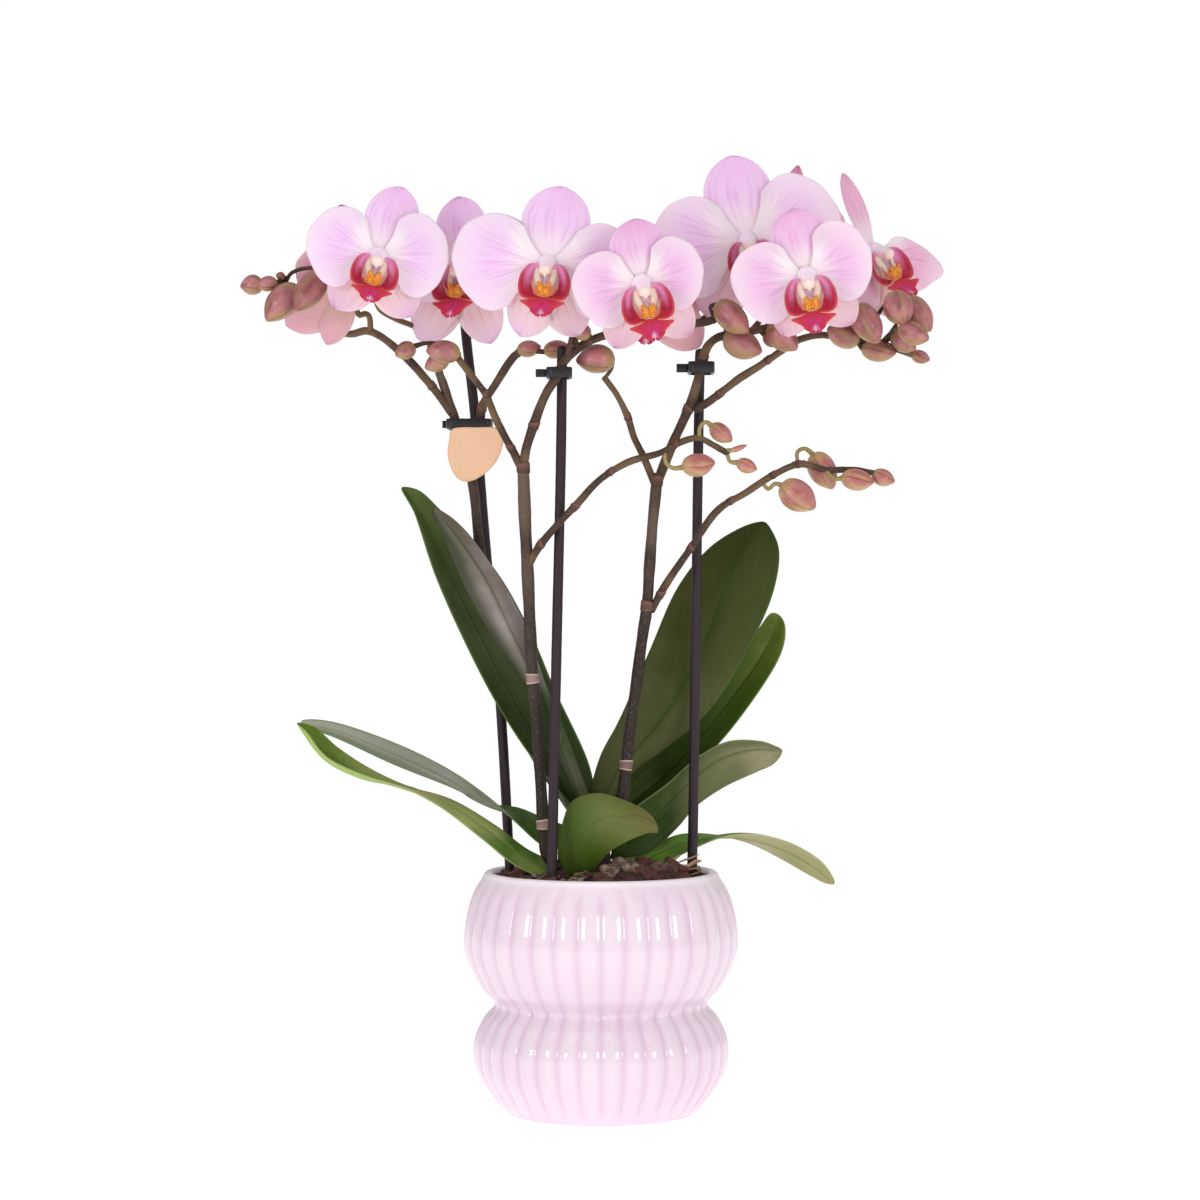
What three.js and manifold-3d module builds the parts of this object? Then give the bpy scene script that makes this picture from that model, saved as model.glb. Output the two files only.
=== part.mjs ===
// A potted moth orchid: three flower spikes on sticks, nine leaves, a ribbed double-bulge ceramic pot.
// Millimetres, +Z up, the front towards -Y. The origin is the middle of the pot's base.
import * as THREE from 'three';
import { mergeVertices } from 'three/addons/utils/BufferGeometryUtils.js';
import Module from 'manifold-3d';

const wasm = await Module();
wasm.setup();

// Driving dimensions
const GAP = 0.3; // clearance between separate pieces that touch
const BLADE = 0.9; // thickness of petals and leaves
const SEAM = 0.2; // edges shorter than this, left where pieces were joined, are merged
const RIBS = 36;
const RIB_DEPTH = 1.5;
const RIB_POINTS = 3; // points round the pot for each rib
const POT_FLOOR = 8;
const GROW_POT_WALL = 0.8;
const GROW_POT_BASE = { r: 38, z: POT_FLOOR + GAP };
const GROW_POT_TOP = { r: 44.6, z: 96 };
const GROW_POT_LIP = { r: 45.6, height: 1.4 };
const BARK_EDGE = { r: 45.9, z: 100.3 };
const STAKE_RADIUS = 2.2;
const CLIP_WALL = 1.3;
const TAG_THICKNESS = 0.7;
const CROWN_X = -4;
const ROUND_SIDES = 20; // sides of the grow pot and of the bark in it

// The plant was laid out from its front view: x across, z up, and y is how far behind the pot's middle a
// point lies. From the viewer's place a thing further off looks smaller, so it is spread out by its depth.
const VIEW_DISTANCE = 1300;
const VIEW_HEIGHT = 224;
const place = ([x, z, y]) => {
  const spread = 1 + y / VIEW_DISTANCE;
  return new THREE.Vector3(x * spread, y, VIEW_HEIGHT + (z - VIEW_HEIGHT) * spread);
};

// Solids
const add = (a, b) => a.add(b);
const join = (list) => list.reduce(add).simplify(SEAM);

function solid(points, triangles) {
  const vertProperties = new Float32Array(points.flatMap((p) => [p.x, p.y, p.z]));
  const signed = triangles.reduce((sum, [a, b, c]) => {
    return sum + points[a].dot(new THREE.Vector3().crossVectors(points[b], points[c]));
  }, 0);
  const outward = signed > 0 ? triangles : triangles.map(([a, b, c]) => [a, c, b]);
  return new wasm.Manifold(new wasm.Mesh({
    numProp: 3,
    vertProperties,
    triVerts: new Uint32Array(outward.flat()),
  }));
}

function solidFromGeometry(geometry) {
  geometry.deleteAttribute('normal');
  geometry.deleteAttribute('uv');
  const merged = mergeVertices(geometry, 1e-4);
  const position = merged.getAttribute('position');
  const points = [];
  for (let i = 0; i < position.count; i++) {
    points.push(new THREE.Vector3().fromBufferAttribute(position, i));
  }
  const triangles = [];
  for (let i = 0; i < merged.index.count; i += 3) {
    const corners = [merged.index.getX(i), merged.index.getX(i + 1), merged.index.getX(i + 2)];
    if (new Set(corners).size === 3) {
      triangles.push(corners);
    }
  }
  return solid(points, triangles);
}

const turned = (profile, sides) => {
  const outline = profile.map(([r, z]) => new THREE.Vector2(r, z));
  return solidFromGeometry(new THREE.LatheGeometry(outline, sides).rotateX(Math.PI / 2));
};

function geometryOf(manifold) {
  const { vertProperties, triVerts } = manifold.getMesh();
  const geometry = new THREE.BufferGeometry();
  geometry.setAttribute('position', new THREE.BufferAttribute(vertProperties, 3));
  geometry.setIndex(new THREE.BufferAttribute(triVerts, 1));
  geometry.computeVertexNormals();
  return geometry;
}

const largest = (manifold) => manifold.decompose().sort((a, b) => b.volume() - a.volume())[0];

// A closed tube whose rings stand at the points, each with its own radius
function tube(points, radii, sides) {
  const heading = points.map((point, i) => {
    const ahead = points[Math.min(i + 1, points.length - 1)];
    return ahead.clone().sub(points[Math.max(i - 1, 0)]).normalize();
  });
  const lean = Math.abs(heading[0].z) < 0.8 ? new THREE.Vector3(0, 0, 1) : new THREE.Vector3(0, 1, 0);
  const normal = lean.cross(heading[0]).normalize();
  const rings = [];
  points.forEach((centre, i) => {
    if (i > 0) {
      normal.applyQuaternion(new THREE.Quaternion().setFromUnitVectors(heading[i - 1], heading[i]));
    }
    const side = heading[i].clone().cross(normal);
    for (let k = 0; k < sides; k++) {
      const angle = (2 * Math.PI * k) / sides;
      rings.push(centre.clone()
        .addScaledVector(normal, radii[i] * Math.cos(angle))
        .addScaledVector(side, radii[i] * Math.sin(angle)));
    }
  });
  const triangles = [];
  for (let i = 0; i < points.length - 1; i++) {
    for (let k = 0; k < sides; k++) {
      const a = i * sides + k;
      const b = i * sides + ((k + 1) % sides);
      triangles.push([a, b, b + sides], [a, b + sides, a + sides]);
    }
  }
  const end = rings.length - sides;
  for (let k = 1; k < sides - 1; k++) {
    triangles.push([0, k + 1, k], [end, end + k, end + k + 1]);
  }
  return solid(rings, triangles);
}

// A value read off evenly spaced ones, on straight lines between them
function sampled(values, along) {
  const at = along * (values.length - 1);
  const low = Math.min(Math.floor(at), values.length - 2);
  return values[low] + (values[low + 1] - values[low]) * (at - low);
}

// A tube that tapers evenly from one radius to another
const tapered = (points, start, end, sides) => {
  const radii = points.map((point, i) => start + ((end - start) * i) / (points.length - 1));
  return tube(points, radii, sides);
};

// A middle surface stitched between rows of points
function stitched(rows) {
  const faces = [];
  for (let row = 1; row < rows.length; row++) {
    const [low, high] = [rows[row - 1], rows[row]];
    let [i, j] = [0, 0];
    while (i < low.length - 1 || j < high.length - 1) {
      const done = j >= high.length - 1;
      if (done || (i < low.length - 1 && (i + 1) / (low.length - 1) <= (j + 1) / (high.length - 1))) {
        faces.push([low[i], low[i + 1], high[j]]);
        i++;
      } else {
        faces.push([low[i], high[j + 1], high[j]]);
        j++;
      }
    }
  }
  return faces;
}

// A thin blade about a middle surface whose faces share their corner points. Both sides are split into
// triangles alike, so they never cross.
function blade(faces, thickness = BLADE) {
  const points = [...new Set(faces.flat())];
  const index = new Map(points.map((point, i) => [point, i]));
  const corners = faces.map((face) => face.map((point) => index.get(point)));
  const normals = points.map(() => new THREE.Vector3());
  const edges = new Set();
  for (const [a, b, c] of corners) {
    const normal = points[b].clone().sub(points[a]).cross(points[c].clone().sub(points[a]));
    for (const corner of [a, b, c]) normals[corner].add(normal);
    for (const edge of [[a, b], [b, c], [c, a]]) edges.add(edge.join());
  }
  const side = (sign) => points.map((point, i) => {
    return point.clone().addScaledVector(normals[i].clone().normalize(), (sign * thickness) / 2);
  });
  const back = points.length;
  const triangles = corners.flatMap(([a, b, c]) => [[a, b, c], [a + back, c + back, b + back]]);
  for (const edge of edges) {
    const [a, b] = edge.split(',').map(Number);
    if (!edges.has([b, a].join())) {
      triangles.push([b, a, a + back], [b, a + back, b + back]);
    }
  }
  return solid([...side(1), ...side(-1)], triangles);
}

// A leaf between three smooth rails: one margin, the midrib and the other margin. It ends in a point.
// The extra is the room left round it where another piece gives way to it.
function railBlade(rails, bands, extra) {
  const [left, rib, right] = rails.map((rail) => {
    const root = rail[0].clone().sub(rail[1]).setLength(extra).add(rail[0]);
    return new THREE.CatmullRomCurve3([root, ...rail.slice(1)], false, 'centripetal');
  });
  const rows = [];
  for (let i = 0; i < bands; i++) {
    const middle = rib.getPoint(i / bands);
    const halves = [left, right].map((rail) => {
      const reach = rail.getPoint(i / bands).sub(middle);
      return reach.setLength(reach.length() + extra);
    });
    rows.push([
      middle.clone().add(halves[0]), middle.clone().addScaledVector(halves[0], 0.5), middle,
      middle.clone().addScaledVector(halves[1], 0.5), middle.clone().add(halves[1]),
    ]);
  }
  rows.push([rib.getPoint(1)]);
  return blade(stitched(rows), BLADE + 2 * extra);
}

// The ceramic pot
const POT_OUTSIDE = [
  [42.5, 0], [49.2, 8.2], [55.2, 19.5], [55.9, 31], [52, 40], [46.9, 46.9], [53, 54.4], [60, 70],
    [60, 81],
  [56.6, 94.8], [50.6, 104.5],
];
const POT_INSIDE = [
  [47.4, 104.5], [46.5, 102], [54, 90], [54.4, 70], [42.2, 47], [51, 30], [47, 15], [41, POT_FLOOR],
];

// The ribs are round with a narrow groove between them; they fade out at the rim and at the foot.
const ribStrength = (z) => Math.min(1, Math.max(0, (104 - z) / 10), Math.max(0.25, z / 7));

function pot() {
  const steps = RIBS * RIB_POINTS;
  const insideSteps = RIBS;
  const points = [new THREE.Vector3(0, 0, 0)];
  const triangles = [];
  const ring = (count, r, z) => {
    const start = points.length;
    for (let k = 0; k < count; k++) {
      const angle = (2 * Math.PI * k) / count - Math.PI / 2;
      const groove = count === steps && k % RIB_POINTS === 0 ? RIB_DEPTH * ribStrength(z) : 0;
      points.push(new THREE.Vector3((r - groove) * Math.cos(angle), (r - groove) * Math.sin(angle), z));
    }
    return start;
  };
  const band = (low, high, count) => {
    for (let k = 0; k < count; k++) {
      const next = (k + 1) % count;
      triangles.push([low + k, low + next, high + next], [low + k, high + next, high + k]);
    }
  };
  let last = ring(steps, ...POT_OUTSIDE[0]);
  for (let k = 0; k < steps; k++) {
    triangles.push([0, last + ((k + 1) % steps), last + k]);
  }
  for (const [r, z] of POT_OUTSIDE.slice(1)) {
    const next = ring(steps, r, z);
    band(last, next, steps);
    last = next;
  }
  const inner = ring(insideSteps, ...POT_INSIDE[0]);
  for (let k = 0; k < insideSteps; k++) {
    const next = (k + 1) % insideSteps;
    const outer = last + k * RIB_POINTS;
    triangles.push([outer, outer + 1, inner + k], [outer + 1, outer + 2, inner + k]);
    const after = last + (((k + 1) * RIB_POINTS) % steps);
    triangles.push([outer + 2, after, inner + next], [outer + 2, inner + next, inner + k]);
  }
  last = inner;
  for (const [r, z] of POT_INSIDE.slice(1)) {
    const next = ring(insideSteps, r, z);
    band(last, next, insideSteps);
    last = next;
  }
  const middle = points.push(new THREE.Vector3(0, 0, POT_FLOOR)) - 1;
  for (let k = 0; k < insideSteps; k++) {
    triangles.push([last + k, last + ((k + 1) % insideSteps), middle]);
  }
  return solid(points, triangles);
}

// The plastic grow pot: a thin tapered cup with a lip
function growPot() {
  const { r: baseR, z: baseZ } = GROW_POT_BASE;
  const { r: topR, z: topZ } = GROW_POT_TOP;
  const lipTop = topZ + GROW_POT_LIP.height;
  return turned([
    [0, baseZ], [baseR, baseZ], [topR, topZ], [GROW_POT_LIP.r, topZ], [GROW_POT_LIP.r, lipTop],
    [topR - GROW_POT_WALL, lipTop], [baseR - GROW_POT_WALL, baseZ + GROW_POT_WALL],
    [0, baseZ + GROW_POT_WALL],
  ], ROUND_SIDES);
}

// Seeded draws, the same on each run
function dice(seed) {
  let state = seed;
  return () => {
    state = (state * 1664525 + 1013904223) % 4294967296;
    return state / 4294967296;
  };
}

// The bark fills the grow pot and stands a little above it, under the rim
const barkHeight = (x, y) => {
  const mound = 2.4 * Math.cos(Math.min(1, Math.hypot(x, y) / BARK_EDGE.r) * (Math.PI / 2));
  return BARK_EDGE.z + mound + 0.7 * Math.sin(0.42 * x + 1.3) * Math.cos(0.37 * y - 0.4);
};

function barkBody() {
  const around = ROUND_SIDES;
  const rings = [BARK_EDGE.r, 34, 18];
  const inside = GROW_POT_BASE.r - GROW_POT_WALL - GAP;
  const lipTop = GROW_POT_TOP.z + GROW_POT_LIP.height;
  const points = [new THREE.Vector3(0, 0, GROW_POT_BASE.z + GROW_POT_WALL + GAP)];
  const triangles = [];
  const ring = (r, height) => {
    const start = points.length;
    for (let k = 0; k < around; k++) {
      const angle = (2 * Math.PI * k) / around;
      const [x, y] = [r * Math.cos(angle), r * Math.sin(angle)];
      points.push(new THREE.Vector3(x, y, height(x, y)));
    }
    return start;
  };
  const level = (z) => () => z;
  const band = (low, high) => {
    for (let k = 0; k < around; k++) {
      const next = (k + 1) % around;
      triangles.push([low + k, low + next, high + next], [low + k, high + next, high + k]);
    }
  };
  const starts = [
    ring(inside, level(points[0].z)),
    ring(GROW_POT_TOP.r - GROW_POT_WALL - GAP, level(lipTop)),
    ring(GROW_POT_TOP.r - GROW_POT_WALL - GAP, level(lipTop + GAP)),
    ring(BARK_EDGE.r - 0.4, level(lipTop + GAP)),
    ...rings.map((r) => ring(r, barkHeight)),
  ];
  for (let k = 0; k < around; k++) {
    triangles.push([0, starts[0] + ((k + 1) % around), starts[0] + k]);
  }
  for (let i = 1; i < starts.length; i++) band(starts[i - 1], starts[i]);
  const top = points.push(new THREE.Vector3(0, 0, barkHeight(0, 0))) - 1;
  const last = starts[starts.length - 1];
  for (let k = 0; k < around; k++) {
    triangles.push([last + k, last + ((k + 1) % around), top]);
  }
  return solid(points, triangles);
}

// A bark chip: a block with slanted sides, sunk into the bark round it
function chip(x, y, lift, length, width, height, turn, tilt) {
  const geometry = new THREE.BoxGeometry(length, width, height);
  const position = geometry.getAttribute('position');
  for (let i = 0; i < position.count; i++) {
    if (position.getZ(i) > 0) {
      position.setX(i, position.getX(i) * 0.72);
      position.setY(i, position.getY(i) * 0.6);
    }
  }
  geometry.rotateY(tilt).rotateZ(turn).translate(x, y, barkHeight(x, y) + lift);
  return solidFromGeometry(geometry);
}

const BARK_RIM_CHIPS = 6;
// The larger chips that show in front: x, y, lift, length, width, height, turn, tilt
const SHOWN_CHIPS = [
  [8, -18, 1.2, 10, 7, 5, 0.5, 0.15], [18, -16, 0.8, 9, 6, 5, 2.2, -0.1],
    [27, -12, 1.2, 10, 7, 6, 1, 0.2],
  [14, -31, 0.3, 10, 6, 4, -0.3, 0.1], [-28, -16, 0.3, 9, 5, 4, 1.2, 0.1],
    [14, 18, 0.8, 9, 7, 5, 0.9, 0.2],
];

function bark() {
  const draw = dice(11);
  const loose = [];
  for (let k = 0; k < BARK_RIM_CHIPS; k++) {
    const angle = (2 * Math.PI * (k + 0.6 * draw())) / BARK_RIM_CHIPS;
    const r = 26 + 12 * draw();
    const size = 5 + 4 * draw();
    const turn = Math.PI * draw();
    const tilt = 0.4 * draw() - 0.2;
    loose.push(chip(r * Math.cos(angle), r * Math.sin(angle), 0.2, size, size * 0.7, 3.4, turn, tilt));
  }
  const shown = SHOWN_CHIPS.map((sizes) => chip(...sizes));
  return join([barkBody(), ...loose, ...shown]);
}

// The crown, the short stem of the plant
const CROWN = [[0, 90], [8, 91], [8.2, 112], [7, 126], [4.4, 138], [0, 140]];
const crown = (extra = 0) => {
  const profile = CROWN.map(([r, z], k) => {
    return [r === 0 ? 0 : r + extra, k === 0 ? z - extra : z + (k > 3 ? extra : 0)];
  });
  return turned(profile, 8).translate([CROWN_X, 0, 0]);
};

// Leaves: three rails each, as [x, z, y] in the front view
const LEAVES = {
  leaf_left_tall_back: [
    [[-10, 130, -4], [-29, 152.7, -3], [-43, 174, -2], [-57.6, 201.5, -2], [-73, 235, -2],
      [-83, 264, -1], [-87.5, 273, 0]],
    [[-13, 128, 3], [-21.5, 151, 5], [-35.6, 174.7, 6], [-49, 200, 6], [-64, 230, 5], [-78, 259, 3],
      [-88, 274, 1]],
    [[-8, 134, 5], [-9, 157, 5], [-20, 184, 5], [-32, 212, 4], [-47, 238, 4], [-71, 264, 3],
      [-87, 274.5, 1]],
  ],
  leaf_left_tall_front: [
    [[-6, 134, -3.5], [-23, 160, -7], [-32, 183, -7], [-46.6, 206.4, -8], [-59.8, 230.6, -8],
      [-70, 253.5, -7], [-74.6, 263.5, -6]],
    [[-7.5, 131, -5], [-18, 160, -12], [-27, 184.4, -14], [-39, 209.5, -15], [-50, 232, -14],
      [-64, 252.6, -11], [-74, 264.5, -7]],
    [[-4, 134, -3.5], [-14, 161, -7], [-23, 183, -8], [-33.6, 213, -8], [-44.4, 233, -8],
      [-60, 255, -7], [-73, 265, -6]],
  ],
  leaf_left_low_back: [
    [[-12, 114, -8], [-24.6, 115.8, -10], [-36, 125, -11], [-48, 135.5, -11], [-66.4, 148.8, -12],
      [-88.4, 160.4, -12], [-114.8, 169.6, -8], [-132, 171, 2]],
    [[-13, 119, -2], [-25, 121.5, -3], [-36, 128.5, -4], [-48, 133.5, -2], [-67.3, 145.7, -1],
      [-88.4, 155.5, 0], [-113, 165.8, 1], [-132.6, 170.2, 3]],
    [[-11, 123, 3], [-24.6, 128, 3], [-36, 132.5, 3], [-50, 134.2, 5], [-68.6, 142.6, 8],
      [-90.6, 151.8, 10], [-116, 163.3, 8], [-132, 169.6, 4]],
  ],
  leaf_left_low_front: [
    [[-13, 102, -9], [-22, 101.5, -14], [-35.6, 106, -17], [-53.2, 119.3, -19], [-70.8, 132.5, -20],
      [-87, 141.2, -21], [-104, 147, -22], [-121, 155.5, -22], [-134, 169.6, -18]],
    [[-14, 105, -5], [-22, 104.8, -10], [-33.5, 109.6, -12], [-50.2, 122.8, -13], [-68.6, 134.7, -14],
      [-86.2, 141.3, -15], [-106, 145.6, -16], [-122, 154, -17], [-134.4, 169, -17]],
    [[-12, 109.5, -2], [-20, 109.5, -5], [-31, 113.6, -7], [-46.6, 124.6, -7], [-66.4, 136, -7],
      [-85, 141.8, -8], [-101.6, 150, -10], [-116, 159.5, -12], [-133.4, 170.2, -16]],
  ],
  leaf_right_large: [
    [[-5, 140, 4], [0, 156, 7], [8, 171, 10], [21.6, 202, 14], [34, 230, 18], [48, 247.3, 21],
      [62, 256, 23], [71, 258.6, 24]],
    [[1, 136, 3], [8, 150, 5], [17.2, 160.2, 6], [33, 181, 8], [45.8, 207, 11], [53, 226, 14],
      [62, 245, 18], [72.2, 258.3, 23]],
    [[3, 134, 6], [15, 149, 9], [28.2, 158.9, 12], [48, 176.5, 15], [65.6, 204.2, 18], [76, 228, 21],
      [78.3, 246, 23], [73.4, 257.8, 24]],
  ],
  leaf_right_back: [
    [[0, 129, 1.5], [17.2, 146, 14], [39.2, 170, 22], [58, 196, 27], [69, 211, 30], [76.4, 218.5, 33]],
    [[1, 126, 2.5], [21.6, 140.4, 18], [39.2, 158, 27], [56.8, 180, 33], [72.2, 202, 36],
      [78.8, 217.4, 36]],
    [[1, 123, 1.5], [21, 134.5, 13], [41.4, 150, 22], [62, 173.5, 28], [79.5, 201, 32], [80.8, 216, 34]],
  ],
  leaf_right_middle: [
    [[3, 120, -3], [17.2, 130, 3], [30, 142, 7], [43.6, 155.4, 9], [56, 162, 12], [69, 162, 16],
      [79.6, 158.6, 21]],
    [[5, 116, 0], [17.2, 122.8, 6], [30.4, 136, 12], [43.6, 149, 16], [57, 156.4, 19],
      [71, 158.8, 21], [80.8, 157.6, 22]],
    [[4, 110, 3], [20, 112.5, 8], [33, 123, 15], [42.2, 133.4, 21], [54.6, 142.2, 25],
      [69, 148.6, 25], [80, 156.4, 23]],
  ],
  leaf_right_low: [
    [[4, 103.4, -4], [12, 103.6, -1], [23.8, 106, 3], [39.2, 113.6, 5.5], [54, 119.4, 6],
      [68, 121, 6], [83.2, 117.5, 8], [96.4, 109.6, 12], [103.4, 99.6, 16]],
    [[5, 105, 0], [12, 106.5, 3], [22, 110.5, 8], [37, 116.5, 12], [53, 119.9, 15], [68, 118.4, 16],
      [83.2, 113, 17], [95.5, 105.6, 17], [103, 99, 17]],
    [[4, 108.5, 4], [10, 110, 8], [21.6, 115.3, 14], [34.8, 120.6, 19], [51.5, 120.2, 23],
      [67, 116.5, 25], [81, 109.6, 25], [92.8, 102.6, 22], [102.2, 98.8, 17]],
  ],
  leaf_front_short: [
    [[-17, 100.6, -9], [-18.9, 111.8, -14], [-17.2, 125, -17], [-12.5, 135.4, -19],
      [-1.8, 138.6, -21], [9.2, 136, -23], [19.4, 131.6, -25], [25, 124.4, -27]],
    [[-11.4, 100, -13], [-11, 110, -20], [-8.4, 119.3, -25], [-2.6, 126.5, -28], [4, 129, -30],
      [12.8, 128, -30], [19.4, 125.6, -29], [25.2, 123.2, -27]],
    [[-5.5, 100, -12], [-3, 104.3, -18], [-0.4, 108.7, -22], [4.8, 114, -26], [10.6, 117.5, -28],
      [16.3, 120, -28], [21.6, 121.6, -28], [25, 122.4, -27]],
  ],
};
const LEAF_BANDS = 6;
const leaf = (name, extra = 0) => {
  const rails = LEAVES[name].map((rail) => rail.map(place));
  return railBlade(rails, LEAF_BANDS, extra);
};

// Flower stems: radius at the start and the end, and the route as [x, z, y]
const STEMS = {
  spike_left: [
    [2.7, 1.8, [[-9, 128, 5], [-18, 140, 12], [-31, 160, 12.5], [-42, 189, 10], [-49.5, 224, 8.5],
      [-53.7, 250, 9.5],
      [-56.4, 275, 12.5], [-60.2, 290, 14.6], [-63.5, 301, 15.4], [-67, 312, 15.6], [-71.5, 325, 13],
        [-75, 336, 8]]],
    [1.9, 1.4, [[-65.4, 306, 15.5], [-69, 311, 15], [-74.4, 318, 12], [-85, 330, 6], [-97, 340, 1],
      [-103, 342.4, 4],
      [-111, 341, 12], [-122, 345, 15], [-130, 352, 14], [-136, 359, 9], [-139, 363, 2],
        [-143, 363.4, -3],
      [-149, 363.2, -7]]],
    [2, 1.7, [[-57.2, 281, 13.2], [-54.8, 291, 14.4], [-53.4, 301, 14.6], [-51.8, 310, 12],
      [-46.6, 318.6, 8], [-38, 331.4, 0],
      [-34, 333.6, -3]]],
    [1.3, 1.2, [[-34, 334, -4], [-25, 333.2, -6]]],
  ],
  spike_centre: [
    [2.5, 2.7, [[-10, 106, -7], [-19, 107, -13], [-23.8, 111.8, -16], [-25.5, 127, -18],
      [-26.8, 149, -18], [-28.6, 175.6, -19],
      [-30, 189, -20], [-31.2, 211, -21], [-32.1, 233, -22], [-33.4, 259, -23], [-34.3, 284.7, -24]]],
    [2.1, 1.7, [[-34.3, 283, -24], [-32.6, 291.8, -24.6], [-29.9, 300.1, -25.4], [-27.3, 307.6, -26],
      [-23.8, 315.5, -26.6],
      [-20.2, 321.2, -27], [-18, 326.1, -27.2], [-14.5, 330.9, -27], [-10.6, 334.4, -26],
        [-4.8, 338, -25], [0.9, 340.2, -24],
      [14, 343, -20], [30, 345, -17], [44, 346, -18], [50, 347.4, -22]]],
    [1.8, 1.4, [[-34.6, 281, -24], [-38.3, 288.7, -23], [-42.2, 295.7, -22], [-46.6, 304.5, -21],
      [-50.6, 314.2, -20],
      [-57.2, 323, -19], [-63, 330.6, -18]]],
    [1.7, 1.3, [[-31.8, 239, -22.5], [-28.2, 246, -25], [-20.2, 256, -28], [-10.6, 266.2, -28],
      [-0.4, 277, -27], [12.8, 285, -25],
      [26, 288.7, -22], [34.8, 293.3, -19], [42.7, 295.3, -17], [50, 291.8, -17], [56, 288.4, -17]]],
  ],
  spike_right: [
    [2.7, 2.4, [[1, 124, -7], [7, 129, -10], [9.4, 137, -10], [11, 151.4, -9], [13.2, 171, -8],
      [15.8, 189, -8], [18, 206.4, -8],
      [20.2, 221, -8], [21.3, 238, -8], [22.6, 256, -8], [24.6, 276.4, -8]]],
    [2.2, 1.8, [[24.2, 274, -8], [28.6, 285.6, -7.4], [32.8, 295.7, -7], [36.3, 303.2, -7],
      [39.8, 311.6, -7],
      [42.5, 320.8, -7.2], [44.4, 328.7, -7.8], [47.1, 335.8, -9.4], [52, 339.8, -12],
        [62, 341.4, -15], [72, 343.6, -17]]],
    [1.6, 1.3, [[24, 274, -8], [18.9, 286.5, -9], [14.5, 295.7, -10.6], [11.7, 304.5, -12],
      [7, 314.2, -14], [1.3, 322.1, -15]]],
    [1.8, 1.4, [[41.2, 307.6, -7], [48, 311.6, -8], [53.7, 316, -9], [61.2, 321.7, -10],
      [68.6, 326.3, -12], [78, 332.6, -14],
      [85, 337.6, -17], [96.4, 340.6, -20], [109.6, 338.6, -20], [122.8, 337.2, -20],
        [130, 334.4, -20], [137, 332, -20]]],
    [1.7, 1.3, [[22, 219, -8], [28, 230, -9], [39.2, 246.4, -10], [51.5, 263.6, -10], [63.4, 271, -9],
      [76.6, 279.4, -8],
      [87.6, 283.8, -8], [98.5, 281.4, -8], [112, 281.2, -8], [120.4, 279.8, -8]]],
  ],
};

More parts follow.
